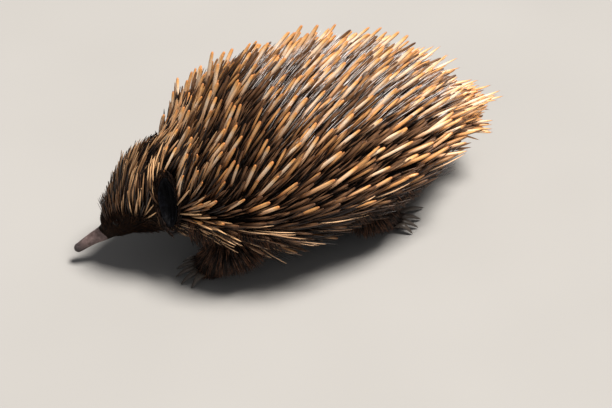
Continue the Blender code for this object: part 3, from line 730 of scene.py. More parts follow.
def spine_look():
    made, tree, shader, add = node_maker("spines")
    along, tone = trait(add, "along"), trait(add, "tone")
    cream = ramp(add, along, CREAM)
    orange = ramp(add, along, ORANGE)
    brown = ramp(add, along, BROWN)
    warm = ramp(add, tone, [(0.25, (0, 0, 0)), (0.5, (1, 1, 1))])
    # The brown share: partly the spines' own colour, partly painted shade of the lower layer
    brown_and_painted_shade = ramp(add, tone, [(0.56, (0, 0, 0)), (0.78, (1, 1, 1))])
    colour = mix(add, brown_and_painted_shade, mix(add, warm, cream, orange), brown)
    streak = ramp(add, noise(add, 700, 2), [(0.25, (0.72, 0.68, 0.64)), (0.6, (1, 1, 1))])
    colour = mix(add, 0.8, colour, streak, "MULTIPLY")
    tree.links.new(colour, shader.inputs["Base Color"])
    shine = ramp(add, tone, [(0.5, (0.5, 0.5, 0.5)), (0.7, (0.2, 0.2, 0.2))])
    tree.links.new(shine, shader.inputs["Specular IOR Level"])
    shader.inputs["Roughness"].default_value = 0.32
    bump(add, shader, tree, noise(add, 1600, 2), 0.15, 0.0002)
    return made


def hair_look(name, dark, middle, light, roughness=0.55, gloss=0.3):
    """Hair that pales towards its tips, from strand to strand by its tone."""
    made, tree, shader, add = node_maker(name)
    tone = ramp(add, trait(add, "tone"), [(0.0, dark), (0.25, dark), (0.60, middle), (0.88, light)])
    shade = ramp(add, trait(add, "along"), [(0.0, (0.2, 0.2, 0.2)), (0.35, (0.75, 0.75, 0.75)), (0.8, (1.15, 1.15, 1.15)), (1.0, (0.9, 0.9, 0.9))])
    tree.links.new(mix(add, 1.0, tone, shade, "MULTIPLY"), shader.inputs["Base Color"])
    shader.inputs["Roughness"].default_value = roughness
    shader.inputs["Specular IOR Level"].default_value = gloss
    bump(add, shader, tree, noise(add, 2500, 1), 0.2, 0.0002)
    return made


def horn_look(name, dark, light, roughness):
    made, tree, shader, add = node_maker(name)
    grain = noise(add, 500, 3, (1, 1, 2.5))
    base = ramp(add, grain, [(0.3, dark), (0.7, light)])
    colour = mix(add, trait(add, "along"), base, tuple(0.5 * v for v in dark))
    tree.links.new(colour, shader.inputs["Base Color"])
    shader.inputs["Roughness"].default_value = roughness
    bump(add, shader, tree, grain, 0.25, 0.0003)
    return made


def ear_look():
    made, tree, shader, add = node_maker("ear_skin")
    # Near-black with a faint blue tint: painted shade of the ear's hollow, and a painted sheen inside it
    colour = ramp(add, noise(add, 300, 4), [(0.3, (0.0008, 0.0008, 0.0011)), (0.55, (0.0018, 0.0018, 0.0028)), (0.8, (0.006, 0.007, 0.011))])
    tree.links.new(colour, shader.inputs["Base Color"])
    shader.inputs["Roughness"].default_value = 0.6
    shader.inputs["Specular IOR Level"].default_value = 0.08
    bump(add, shader, tree, noise(add, 700, 4), 0.5, 0.0008)
    return made


def eye_look():
    made, tree, shader, add = node_maker("eye")
    colour = ramp(add, noise(add, 350, 2), [(0.35, (0.003, 0.0015, 0.001)), (0.7, (0.012, 0.005, 0.003))])
    tree.links.new(colour, shader.inputs["Base Color"])
    shader.inputs["Roughness"].default_value = 0.14
    shader.inputs["Specular IOR Level"].default_value = 0.07
    return made


def sites(form, first, last, gaps, zone, draw):
    """Places in uneven staggered rows, about a gap apart, between the zone's two angles."""
    us, turns = [], []
    u, row = first, 0
    while u < last:
        gap = float(read_table(form, gaps, u))
        start, end = zone(u)
        angles = np.linspace(start, end, 60)
        ring = form.point(np.full(60, u), angles)
        arc = np.concatenate([[0.0], np.cumsum(np.linalg.norm(np.diff(ring, axis=0), axis=1))])
        count = max(2, round(arc[-1] / gap))
        at = (np.arange(count) + 0.5 * (row % 2) + draw.uniform(-0.35, 0.35, count)) * arc[-1] / count
        turns.append(np.interp(at, arc, angles))
        us.append(np.clip(u + draw.uniform(-0.45, 0.45, count) * gap, first, last))
        u += gap
        row += 1
    return np.concatenate(us), np.concatenate(turns)


def surface_axes(form, u, angle):
    """Backwards, towards the ridge of the back, and straight out."""
    near, step = 0.001, 0.02
    normal = form.normal(u, angle)
    back = unit(form.point(u + near, angle) - form.point(u - near, angle))
    around = form.point(u, angle + step) - form.point(u, angle - step)
    ridge = around * np.where(np.sin(angle) > 0, -1.0, 1.0)[:, None]
    return back, unit(ridge - back * dot(ridge, back)), normal


def turned(axes, turn, rise):
    """Directions turned from backwards to the ridge, and raised off the skin, by degrees."""
    back, ridge, normal = axes
    turn, rise = np.radians(turn)[:, None], np.radians(rise)[:, None]
    flat = back * np.cos(turn) + ridge * np.sin(turn)
    return flat * np.cos(rise) + normal * np.sin(rise)


def waves(u, angle):
    """Slow swings, in degrees, by which neighbours lean the same way."""
    first = np.sin(95 * u + 2.4 * np.sin(2.1 * angle)) + 0.6 * np.sin(7 * angle + 60 * u)
    second = np.sin(80 * u - 5 * angle + 1.0) + 0.5 * np.sin(150 * u + 9 * angle)
    return 3.0 * first, 2.0 * second


def lie(form, u, angle, more_turn=0.0, more_rise=0.0):
    """The directions of spines or hairs that grow there, and those towards the ridge and outwards."""
    axes = surface_axes(form, u, angle)
    turn = read_table(form, TURNS, u, angle) + more_turn
    rise = read_table(form, RISES, u, angle) + more_rise
    return turned(axes, turn, rise), axes[1], axes[2]


def strands(name, roots, ways, lengths, radii, bends, shape, sides, tone, places, look, sunk=0.003):
    """One mesh of tapering solids, each from under the skin at its root to its tip. The shape gives
    (place along it, share of its radius) for its rings, and a bend is how far its tip moves sideways."""
    count, rings = len(roots), len(shape)
    across = unit(np.cross(ways, np.where(np.abs(ways[:, 2:]) < 0.9, [[0.0, 0.0, 1.0]], [[1.0, 0.0, 0.0]])))
    above = np.cross(across, ways)
    turns = 2 * np.pi * np.arange(sides) / sides
    rims = across[:, None] * np.cos(turns)[:, None] + above[:, None] * np.sin(turns)[:, None]
    along = np.array([place for place, _ in shape] + [1.0])
    line = roots[:, None] + ways[:, None] * (lengths[:, None] * along)[..., None] + bends[:, None] * (along**2)[:, None]
    line[:, 0] = roots - ways * sunk
    width = radii[:, None] * np.array([share for _, share in shape])
    skins = line[:, :rings, None] + rims[:, None] * width[..., None, None]
    points = np.concatenate([skins.reshape(count, -1, 3), line[:, -1:]], axis=1)
    size = rings * sides + 1
    quads = [
        (r * sides + k, r * sides + (k + 1) % sides, (r + 1) * sides + (k + 1) % sides, (r + 1) * sides + k)
        for r in range(rings - 1)
        for k in range(sides)
    ]
    last = (rings - 1) * sides
    ends = [(last + k, last + (k + 1) % sides, size - 1) for k in range(sides)]
    faces = quads + ends + [tuple(range(sides - 1, -1, -1))]
    corners = np.concatenate([np.array(face) for face in faces])
    totals = np.array([len(face) for face in faces])
    mesh = bpy.data.meshes.new(name)
    mesh.vertices.add(count * size)
    mesh.vertices.foreach_set("co", points.astype(np.float32).ravel())
    every = (corners[None] + size * np.arange(count)[:, None]).ravel()
    mesh.loops.add(len(every))
    mesh.loops.foreach_set("vertex_index", every.astype(np.int32))
    all_totals = np.tile(totals, count)
    mesh.polygons.add(len(all_totals))
    starts = np.concatenate([[0], np.cumsum(all_totals)[:-1]])
    mesh.polygons.foreach_set("loop_start", starts.astype(np.int32))
    mesh.polygons.foreach_set("use_smooth", np.ones(len(all_totals), bool))
    mesh.update(calc_edges=True)
    row_of = np.append(np.repeat(along[:rings], sides), 1.0)
    side_of = np.append(np.tile(np.abs(2 * np.arange(sides) / sides - 1), rings), 0.5)
    for trait_name, values in (("along", np.tile(row_of, count)), ("tone", np.repeat(tone, size))):
        mesh.attributes.new(trait_name, "FLOAT", "POINT").data.foreach_set("value", values.astype(np.float32))
    patch = (np.stack([side_of, row_of], axis=-1) - 0.5)[corners] * PATCH
    spread = places[:, None] + patch[None]
    mesh.uv_layers.new(name="OFBake").data.foreach_set("uv", spread.astype(np.float32).ravel())
    mesh.materials.append(look)
    obj = bpy.data.objects.new(name, mesh)
    bpy.context.scene.collection.objects.link(obj)
    return obj


def ear_place(form, side, points):
    """Points against one ear: 1 at its rim and 0 in its middle, how far out, and the way in towards it."""
    middle, back, upwards, out = ear_axes(form, side)
    off = points - middle
    x, y = off @ back / (EAR_WIDTH / 2), off @ upwards / (EAR_HEIGHT / 2)
    inwards = -(x / EAR_WIDTH)[..., None] * back - (y / EAR_HEIGHT)[..., None] * upwards
    return np.hypot(x, y), off @ out, unit(inwards)


def part_round_ears(form, roots, ways, normals):
    """Turns what grows before an ear up or down along its rim, and what grows round it away from it."""
    for side in (-1, 1):
        share, height, inwards = ear_place(form, side, roots)
        middle, back, upwards, out = ear_axes(form, side)
        off = roots - middle
        near = (np.abs(height) < 0.03)[:, None]
        ahead = np.clip(-off @ back / EAR_WIDTH, 0, 1)[:, None]
        high = np.clip((off @ upwards / EAR_HEIGHT + PARTING) * PART_STEEP, -1, 1)[:, None]
        over = np.clip(off @ upwards / EAR_HEIGHT - PART_OVER, 0, 0.5)[:, None] * 4
        rim = upwards * high + back * (PART_BACK + 0.8 * (1 - np.abs(high)) + over)
        rim = unit(rim - normals * dot(rim, normals))
        close = np.clip((PART_REACH - share) / PART_FADE, 0, 1)[:, None] * near
        ways = unit(ways + (rim * math.cos(0.35) + normals * math.sin(0.35) - ways) * 0.85 * close * np.minimum(ahead * 2.5, 1))
        ways = unit(ways - inwards * np.maximum(dot(ways, inwards), 0) * close)
    return ways


def leg_depth(shift, points):
    """How deep points lie in the nearest leg, in metres, and less than 0 outside."""
    deepest = np.full(points.shape[:-1], -1.0)
    for leg in LEGS.values():
        centres = [np.array([leg.x - ahead, leg.side * out, up]) + shift for ahead, out, up, _ in leg.balls]
        radii = [radius for *_, radius in leg.balls]
        for start, end, first, last in zip(centres, centres[1:], radii, radii[1:]):
            step = end - start
            t = np.clip((points - start) @ step / (step @ step), 0, 1)
            far = np.linalg.norm(points - start - t[..., None] * step, axis=-1)
            deepest = np.maximum(deepest, first + (last - first) * t - far)
    return deepest


def keep_clear(form, roots, ways, lengths, bends, radii, room):
    """Which strands stay clear of the ears and of the floor, and don't end in a leg."""
    clear = np.ones(len(roots), bool)
    for t in (0.0, 0.2, 0.4, 0.6, 0.8, 1.0):
        points = roots + ways * (lengths * t)[:, None] + bends * t * t
        clear &= points[:, 2] > radii + room
        for side in (-1, 1):
            share, height, _ = ear_place(form, side, points)
            clear &= (share > 0.84) | (height < -0.014) | (height > 0.05)
        if t > 0.5:
            clear &= leg_depth(form.shift, points) < 0.0005
    return clear


def back_zone(form):
    def zone(u):
        widest = math.radians(float(read_table(form, WIDEST, u)))
        return -widest, widest

    return zone


def whole_zone(u):
    return -math.pi, math.pi


def belly_zone(form):
    def zone(u):
        widest = math.radians(float(read_table(form, WIDEST, u))) - 0.12
        return widest, 2 * math.pi - widest

    return zone


def wrapped(angle):
    return (angle + math.pi) % (2 * math.pi) - math.pi


def grow(form, name, places, kind, draw, look, tone=None, droop=0.0):
    """Spines or hairs of one kind at the places, less those that would cross what they keep clear of."""
    u, angle = places
    angle = wrapped(angle)
    count = len(u)
    lengths = read_table(form, LENGTHS, u, angle) * 0.001 * draw.uniform(0.72, 1.10, count)
    lengths = lengths * read_table(form, kind.shares, u)
    radii = read_table(form, kind.radii, u) * draw.uniform(0.75, 1.12, count)
    radii = radii * np.interp(np.degrees(np.abs(angle)), (70, 115), (1.0, 0.68))
    swing, lift = waves(u, angle)
    more_turn = draw.normal(0, kind.scatter, count) + swing
    more_rise = draw.normal(kind.more_rise, kind.scatter * 0.7, count) + lift
    ways, ridge, normals = lie(form, u, angle, more_turn, more_rise)
    raised = dot(ways, normals)
    roots = form.point(u, angle, -0.0012)
    ways = part_round_ears(form, roots, ways, normals)
    full_share = 1 - kind.shorter_down * np.clip(-ways[:, 2] * 1.4, 0, 1)
    lengths, radii = lengths * full_share, radii * full_share
    hug = read_table(form, kind.hugs, u) * lengths / form.read(u)[:, 3] * dot(ways, ridge)[:, 0] ** 2
    bends = -normals * (lengths * (draw.uniform(0.02, 0.09, count) + hug))[:, None]
    bends = bends + np.array([0.0, 0.0, -1.0]) * (lengths * droop)[:, None]
    clear = keep_clear(form, roots, ways, lengths, bends, radii, 0.0005)
    clear &= (dot(ways, normals) - raised)[:, 0] < STOOD_UP
    low, high = kind.tones
    tones = low + (high - low) * draw.uniform(0, 1, count)
    tones = np.clip(tones if tone is None else tone(u, angle, tones), 0, 1)
    values = (roots, ways, lengths, radii, bends, tones, body_unwrap(form, u, angle))
    roots, ways, lengths, radii, bends, tones, unwrap = (value[clear] for value in values)
    return strands(name, roots, ways, lengths, radii, bends, kind.shape, kind.sides, tones, unwrap, look)


# The spines that close the tail's end: spread over it, more to the side towards its rim
FAN_COUNT, FAN_LEAN, FAN_RISE, FAN_LENGTH, FAN_RADIUS = 80, 0.62, 0.46, 0.046, 0.0018


def tail_fan(form, draw, look):
    """Spines that fan out from the blunt end of the tail."""
    share = np.sqrt(draw.uniform(0, 0.95, FAN_COUNT))
    angle = draw.uniform(-math.pi, math.pi, FAN_COUNT)
    end = np.full(FAN_COUNT, form.at[-1])
    _, along, right, above = form.frame(form.at[-1])
    outwards = right * np.sin(angle)[:, None] + above * np.cos(angle)[:, None]
    ways = unit(along + outwards * (FAN_LEAN * share)[:, None] + np.array([0, 0, FAN_RISE]) + draw.normal(0, 0.05, (FAN_COUNT, 3)))
    roots = form.point(end, angle, -0.0018, share) + along * 0.006 * np.sqrt(1 - share**2)[:, None]
    lengths = FAN_LENGTH * draw.uniform(0.72, 1.06, FAN_COUNT)
    radii = FAN_RADIUS * draw.uniform(0.7, 1.15, FAN_COUNT)
    bends = np.array([0, 0, -1.0]) * (lengths * 0.04)[:, None]
    tones = draw.uniform(0.1, 0.62, FAN_COUNT)
    unwrap = body_unwrap(form, end, angle)
    return strands("spines_tail", roots, ways, lengths, radii, bends, TUFT_SHAPE, 8, tones, unwrap, look)


def past_fur(form, points):
    """How far points lie ahead of the slanting edge of the fur, on the beak."""
    off = points - form.rows[2][:3] - form.shift
    return -off[..., 0] - FUR_AHEAD - off[..., 2] * np.where(off[..., 2] > 0, FUR_SLANTS[1], FUR_SLANTS[0])


def skin_traits(obj, form, shift):
    """How bare the skin is at each point, and how near to the beak's tip."""
    points = np.array([vert.co for vert in obj.data.vertices])
    ahead = points[:, 0] - shift[0]
    bare = np.clip(past_fur(form, points) / 0.003, 0, 1)
    foot = np.clip((0.006 - points[:, 2]) / 0.003, 0, 1)
    near_tip = np.clip((form.rows[0][0] + 0.008 - ahead) / 0.010, 0, 1)
    for name, values in (("bare", np.maximum(bare, foot)), ("tip", near_tip)):
        obj.data.attributes.new(name, "FLOAT", "POINT").data.foreach_set("value", values.astype(np.float32))


def make_skin(form, shift, look):
    skin = make_body(form, look)
    legs = [make_leg(name, index, leg, Vector(shift)) for index, (name, leg) in enumerate(LEGS.items())]
    join_solid(skin, legs)
    skin.data.materials.clear()
    skin.data.materials.append(look)
    soften_joins(skin, form, shift)
    skin_traits(skin, form, shift)
    skin.data.shade_smooth()
    return skin


EAR_PROFILE = ((0.40, -0.0095), (0.78, -0.0080), (0.96, -0.0030), (1.00, -0.0012), (0.99, -0.0003), (0.95, 0.0003), (0.90, 0.0001), (0.83, -0.0008), (0.76, -0.0024), (0.68, -0.0042), (0.52, -0.0060), (0.30, -0.0068), (0.12, -0.0070))


def make_ear(form, side, name, look):
    """A cup pointed above and below, with folds running down it."""
    middle, back, upwards, out = ear_axes(form, side)
    sides = 64
    rings = []
    for row, (share, height) in enumerate(EAR_PROFILE):
        for i in range(sides):
            t = 2 * math.pi * i / sides
            wave = 1 + (0.025 * math.sin(5 * t + 0.6) + 0.02 * math.sin(3 * t)) * (share > 0.2)
            wide = math.copysign(abs(math.cos(t)) ** 1.25, math.cos(t)) * share * EAR_WIDTH / 2 * wave
            tall = math.sin(t) * share * EAR_HEIGHT / 2
            fold = 0.0009 * math.sin(9 * wide / EAR_WIDTH * math.pi) * (0.25 < share < 0.8 and row > 6)
            rings.append(middle + out * (height + fold) + back * wide + upwards * tall)
    obj = new_object(name, rings, ring_faces(len(EAR_PROFILE), sides), look)
    face_outwards(obj)
    obj.data.shade_smooth()
    subsurf = obj.modifiers.new("smooth", "SUBSURF")
    subsurf.levels = subsurf.render_levels = 1
    return obj


def make_eye(form, side, name, look):
    eye = ball(name, eye_centre(form, side), [EYE_RADIUS] * 3, rows=24, sides=40)
    eye.data.materials.append(look)
    eye.data.shade_smooth()
    return eye


def make_claws(shift, look):
    """All the claws: curved, a little flattened and flatter below, with worn tips."""
    sides, rows = 14, 14
    points, faces, along = [], [], []
    for leg in LEGS.values():
        for claw in leg.claws:
            side_way, upright = side_ways(leg, claw)
            first = len(points)
            for row, (centre, radius) in enumerate(claw_path(leg, claw, Vector(shift), rows)):
                for k in range(sides):
                    a = 2 * math.pi * (k + 0.5) / sides
                    low = CLAW_FLAT * math.sin(a) * (0.75 if math.sin(a) < 0 else 1.0)
                    points.append(centre + radius * (side_way * math.cos(a) + upright * low))
                    along.append(row / rows)
            faces += [tuple(first + i for i in face) for face in ring_faces(rows + 1, sides)]
    obj = new_object("claws", points, faces, look)
    obj.data.attributes.new("along", "FLOAT", "POINT").data.foreach_set("value", np.array(along, np.float32))
    face_outwards(obj)
    obj.data.shade_smooth()
    return obj


def leg_places(skin, leg, index, shift, gap, draw):
    """Places over one leg, picked over the skin's faces by their area: points, outward directions, unwrap."""
    mesh = skin.data
    centres = np.array([face.center for face in mesh.polygons])
    middle = np.array([leg.x - leg.balls[1][0], leg.side * leg.balls[1][1]]) + shift[:2]
    near = np.hypot(centres[:, 0] - middle[0], centres[:, 1] - middle[1]) < 0.05
    near &= (centres[:, 2] < 0.092) & (centres[:, 2] > 0.003) & (centres[:, 1] * leg.side > 0.012)
    picked = np.flatnonzero(near)
    areas = np.array([mesh.polygons[int(i)].area for i in picked])
    count = int(areas.sum() / gap**2)
    chosen = picked[draw.choice(len(picked), count, p=areas / areas.sum())]
    roots, normals = [], []
    for i in chosen:
        face = mesh.polygons[int(i)]
        weights = draw.dirichlet(np.ones(len(face.vertices)))
        roots.append(sum((w * np.array(mesh.vertices[v].co) for w, v in zip(weights, face.vertices)), np.zeros(3)))
        normals.append(face.normal)
    roots, normals = np.array(roots), np.array(normals)
    return roots, normals, leg_unwrap(index, leg, shift, roots)


def leg_fur(skin, form, shift, draw, look):
    """Coarse hair that hangs down the legs, shorter towards the feet."""
    made = []
    parts = {"roots": [], "ways": [], "lengths": [], "radii": [], "bends": [], "tone": [], "places": []}
    for index, leg in enumerate(LEGS.values()):
        roots, normals, places = leg_places(skin, leg, index, shift, 0.0023, draw)
        ahead = np.array([*leg.heading, 0.0])
        sweep = np.clip((roots[:, 2] - 0.02) / 0.05, 0, 1)[:, None] * np.array([0.75, 0.0, 0.0])
        down = np.array([0, 0, -1.0]) + sweep + draw.normal(0, 0.16, roots.shape)
        down = down - normals * dot(down, normals)
        high = np.clip((roots[:, 2] - 0.006) / 0.05, 0, 1)
        rise = np.radians(10 + 22 * high + draw.normal(0, 5, len(roots)))[:, None]
        ways = unit(down) * np.cos(rise) + normals * np.sin(rise)
        foot = np.array(ahead)[None] * (high[:, None] < 0.25)
        ways = unit(ways + foot * 0.5)
        lengths = (0.0045 + 0.0165 * high**0.8) * draw.uniform(0.7, 1.15, len(roots))
        lengths = np.minimum(lengths, np.where(ways[:, 2] < -0.05, (roots[:, 2] - 0.0008) / np.maximum(-ways[:, 2], 0.05), 1.0))
        kept = lengths > 0.0018
        bends = np.array([0, 0, -1.0]) * (lengths * 0.04 * (high > 0.3))[:, None]
        values = (roots, ways, lengths, 0.00030 + 0.00022 * high, bends, draw.uniform(0, 1, len(roots)), places)
        for key, value in zip(parts, values):
            parts[key].append(value[kept])
    joined = {key: np.concatenate(value) for key, value in parts.items()}
    return strands(
        "fur_legs", joined["roots"], joined["ways"], joined["lengths"], joined["radii"], joined["bends"],
        HAIR_SHAPE, 3, joined["tone"], joined["places"], look, 0.0015,
    )


def spine_tones(form):
    """Browner low on the flanks, which is painted shade of the lower flank, browner on the neck, and more orange
    towards the tail.
    """

    def tones(u, angle, drawn):
        # Painted shade: the spines turn browner down the lower flank
        low = np.interp(np.degrees(np.abs(angle)), (60, 98), (0.0, 0.68))
        rear = np.interp(u, (form.place["middle"], form.place["rump"]), (0.0, 0.02))
        front = np.interp(u, (form.place["neck"], form.place["chest"]), (0.10, 0.0))
        return drawn + np.maximum(low, front) + rear

    return tones


def few_pale(drawn, share):
    """Tones of which only a share are pale, and the rest dark."""
    pale = 1 - (1 - drawn) / share * 0.38
    return np.where(drawn > 1 - share, pale, 0.46 * drawn / (1 - share))


def head_tones(form):
    """Dark at the eye and paler towards the neck."""

    def tones(u, angle, drawn):
        shade = np.interp(u, [form.place[n] for n in ("face", "eye", "brow", "ear")], (0.45, 0.62, 0.94, 1.0))
        return few_pale(drawn, PALE_HEAD) * shade

    return tones


def skirt_tones(form):
    """More pale ones behind the ears: partly the tan bristles there, partly painted light on the shoulder under the
    ears.
    """

    def tones(u, angle, drawn):
        return few_pale(drawn, np.interp(u, [form.place[n] for n in ("neck", "chest")], PALE_SKIRT))

    return tones


def on_top(form, places, draw, full, none):
    """Fewer and fewer of the places between the angles, in degrees, where all and none are kept."""
    u, angle = places
    chance = np.interp(np.degrees(np.abs(wrapped(angle))), (full, none), (1.0, 0.0))
    kept = draw.uniform(0, 1, len(u)) < chance
    return u[kept], angle[kept]


def one_side(places, side):
    chosen = np.sin(places[1]) * side >= 0
    return places[0][chosen], places[1][chosen]


def skirt_zone(side):
    def zone(u):
        return side * math.radians(90), side * math.radians(128)

    return zone


def make_coat(form, shift, skin, looks, draw):
    """Spines over the back, head and tail, and the fur between them and below."""
    neck, end = form.place["neck"], form.at[-1] - 0.001
    back, belly = back_zone(form), belly_zone(form)
    spots = sites(form, form.place["face"] + 0.004, neck + 0.020, BRISTLES.gaps, back, draw)
    made = [grow(form, "bristles_head", spots, BRISTLES, draw, looks["bristles"], head_tones(form))]
    rump = form.place["rump"] - 0.014
    for kind, title, first, last in (
        (STRONG, "spines", form.place["ear"] + 0.012, rump),
        (REAR, "spines_rear", rump, end),
        (MEDIUM, "spines_medium", neck, end),
        (THIN, "spines_thin", neck, end),
    ):
        spots = sites(form, first, last, kind.gaps, back, draw)
        for side, word in ((-1, "left"), (1, "right")):
            some = one_side(spots, side)
            made.append(grow(form, f"{title}_{word}", some, kind, draw, looks["spines"], spine_tones(form)))
    made.append(tail_fan(form, draw, looks["spines"]))
    for side, word in ((-1, "left"), (1, "right")):
        spots = sites(form, form.place["ear"] + 0.006, form.place["rump"], SKIRT.gaps, skirt_zone(side), draw)
        made.append(grow(form, f"bristles_{word}", spots, SKIRT, draw, looks["skirt"], skirt_tones(form), -0.12))
    middle = form.place["back"]
    for part, first, last in (("front", form.place["face"] + 0.004, middle), ("rear", middle, end)):
        spots = sites(form, first, last, COAT.gaps, back, draw)
        for side, word in ((-1, "left"), (1, "right")):
            some = one_side(spots, side)
            made.append(grow(form, f"fur_{part}_{word}", some, COAT, draw, looks["coat"]))
    # Pale hairs kept to the top of the back, as painted highlights on the dark fur
    spots = on_top(form, sites(form, form.place["chest"] + 0.01, end, PALE.gaps, back, draw), draw, 16, 54)
    made.append(grow(form, "fur_painted_glints", spots, PALE, draw, looks["pale"]))
    u, angle = sites(form, form.place["beak base"] - 0.013, form.place["brow"] + 0.008, FACE_GAPS, whole_zone, draw)
    made.append(face_fur(form, "fur_face", (u, angle), FACE_RADII, draw, looks["face"]))
    u, angle = sites(form, form.place["brow"] + 0.004, end - 0.004, FACE_GAPS, belly, draw)
    made.append(belly_fur(form, "fur_belly", (u, angle), FACE_RADII, draw, looks["belly"]))
    made.append(leg_fur(skin, form, shift, draw, looks["legs"]))
    made.append(ear_fur(form, draw, looks["face"]))
    return made


def face_fur(form, name, places, radii_table, draw, look):
    """Short bristles of the face, lying back and up, and none over the eyes."""
    u, angle = places
    angle = wrapped(angle)
    roots = form.point(u, angle, -0.0006)
    clear = past_fur(form, roots) < draw.normal(0.0, 0.0008, len(u))
    for side in (-1, 1):
        clear &= np.linalg.norm(roots - eye_centre(form, side), axis=1) > EYE_RADIUS + 0.0012
    u, angle, roots = u[clear], angle[clear], roots[clear]
    count = len(u)
    share = np.clip((u - form.place["beak base"]) / (form.place["brow"] - form.place["beak base"]), 0, 1)
    lengths = (0.0030 + 0.0095 * share) * draw.uniform(0.7, 1.2, count)
    turns = np.interp(np.degrees(np.abs(angle)), (0, 40, 90, 120, 180), (0, 30, 25, -5, 0)) + draw.normal(0, 9, count)
    axes = surface_axes(form, u, angle)
    ways = turned(axes, turns, 10 + 16 * share + draw.normal(0, 5, count))
    radii = read_table(form, radii_table, u) * draw.uniform(0.8, 1.2, count)
    bends = -axes[2] * (lengths * 0.06)[:, None]
    tones = draw.uniform(0, 1, count)
    unwrap = body_unwrap(form, u, angle)
    return strands(name, roots, ways, lengths, radii, bends, HAIR_SHAPE, 3, tones, unwrap, look, 0.001)


RIM_COUNT, RIM_LENGTH, RIM_RADIUS = 260, 0.0105, 0.00042


def ear_fur(form, draw, look):
    """Bristles from round each ear's rim that run along it and reach over its edge."""
    parts = []
    for side in (-1, 1):
        middle, back, upwards, out = ear_axes(form, side)
        turn = draw.uniform(0, 2 * math.pi, RIM_COUNT)
        share = draw.uniform(0.98, 1.30, RIM_COUNT)
        x, y = np.cos(turn), np.sin(turn)
        spots = back * (x * share * EAR_WIDTH / 2)[:, None] + upwards * (y * share * EAR_HEIGHT / 2)[:, None]
        inwards = unit(-back * (x / EAR_WIDTH)[:, None] - upwards * (y / EAR_HEIGHT)[:, None])
        along = upwards * np.where(x < 0.2, np.sign(y + 0.06), 0.55)[:, None] + back * np.where(x < 0.2, 0.25, 1.0)[:, None]
        along = unit(along - inwards * dot(along, inwards))
        lean = draw.normal(0.16, 0.14, RIM_COUNT) * np.where(x < 0.2, 1.0, -0.8)
        ways = unit(along + inwards * lean[:, None] + out * draw.uniform(0.10, 0.40, RIM_COUNT)[:, None])
        lengths = RIM_LENGTH * draw.uniform(0.6, 1.3, RIM_COUNT) * np.interp(y, (-0.9, -0.3, 0.5, 0.95), (0.45, 1.0, 1.0, 0.5))
        parts.append((middle + spots - out * 0.0012, ways, lengths, np.full((RIM_COUNT, 2), 0.0) + body_unwrap_near(form, side)))
    roots, ways, lengths, places = (np.concatenate([part[k] for part in parts]) for k in range(4))
    count = len(roots)
    radii = RIM_RADIUS * draw.uniform(0.6, 1.3, count)
    bends = np.zeros((count, 3))
    # Dark tones: partly the rim fur's own colour, partly painted shade round the ear
    return strands("fur_ears", roots, ways, lengths, radii, bends, BRISTLE_SHAPE, 4, draw.uniform(0, 0.6, count), places, look, 0.002)


def body_unwrap_near(form, side):
    """The ear's place in the unwrap."""
    return body_unwrap(form, np.array([form.place["ear"] + EAR_BEHIND]), np.array([side * EAR_ANGLE]))


def belly_fur(form, name, places, radii_table, draw, look):
    """Longer hair of throat, breast and belly, hanging back and down."""
    u, angle = places
    angle = wrapped(angle)
    roots = form.point(u, angle, -0.0014)
    normal = form.normal(u, angle)
    back = unit(form.point(u + 0.001, angle) - form.point(u - 0.001, angle))
    lengths = np.interp(u, [form.place[n] for n in ("brow", "neck", "chest", "tail base")], (0.007, 0.013, 0.019, 0.022))
    lengths = lengths * draw.uniform(0.7, 1.15, len(u))
    ways = unit(back + normal * np.tan(np.radians(draw.normal(20, 6, len(u))))[:, None] + np.array([0, 0, -0.35]) + draw.normal(0, 0.10, roots.shape))
    ways = unit(ways + normal * np.maximum(0.12 - dot(ways, normal), 0))
    radii = read_table(form, radii_table, u) * draw.uniform(0.8, 1.2, len(u))
    bends = np.array([0, 0, -1.0]) * (lengths * 0.05)[:, None]
    clear = keep_clear(form, roots, ways, lengths, bends, radii, 0.0004)
    kept = [v[clear] for v in (roots, ways, lengths, radii, bends, draw.uniform(0, 1, len(u)), body_unwrap(form, u, angle))]
    roots, ways, lengths, radii, bends, tone, unwrap = kept
    return strands(name, roots, ways, lengths, radii, bends, HAIR_SHAPE, 3, tone, unwrap, look, 0.0015)


# The camera, from the photograph's frame of 612 by 408
FRAME_WIDTH, FRAME_HEIGHT = 612, 408
METRES_PER_PIXEL = 0.00107
CAMERA_TURN, CAMERA_TILT, CAMERA_FAR = math.radians(-25), math.radians(40), 2.1
TIP_AT = (75, 250)


def make_camera(tip):
    across = Vector((math.cos(CAMERA_TURN), math.sin(CAMERA_TURN), 0))
    out = Vector((math.sin(CAMERA_TURN) * math.cos(CAMERA_TILT), -math.cos(CAMERA_TURN) * math.cos(CAMERA_TILT), math.sin(CAMERA_TILT)))
    above = out.cross(across)
    target = Vector(tip) - across * (TIP_AT[0] - FRAME_WIDTH / 2) * METRES_PER_PIXEL
    target -= above * (FRAME_HEIGHT / 2 - TIP_AT[1]) * METRES_PER_PIXEL
    data = bpy.data.cameras.new("camera")
    data.sensor_width = 36
    data.lens = 36 * CAMERA_FAR / (FRAME_WIDTH * METRES_PER_PIXEL)
    camera = bpy.data.objects.new("camera", data)
    bpy.context.scene.collection.objects.link(camera)
    camera.matrix_world = Matrix.Translation(target + out * CAMERA_FAR) @ Matrix((across, above, out)).transposed().to_4x4()
    bpy.context.scene.camera = camera
    return camera


def add_light(name, kind, place, size, power, colour):
    """A lamp turned to the animal. Its size is a sun's angle, or a disk's width."""
    data = bpy.data.lights.new(name, kind)
    if kind == "SUN":
        data.angle = size
    else:
        data.shape = "DISK"
        data.size = size
    data.energy = power
    data.color = colour
    lamp = bpy.data.objects.new(name, data)
    bpy.context.scene.collection.objects.link(lamp)
    lamp.location = place
    lamp.rotation_euler = (Vector((0, 0, 0.08)) - Vector(place)).to_track_quat("-Z", "Y").to_euler()


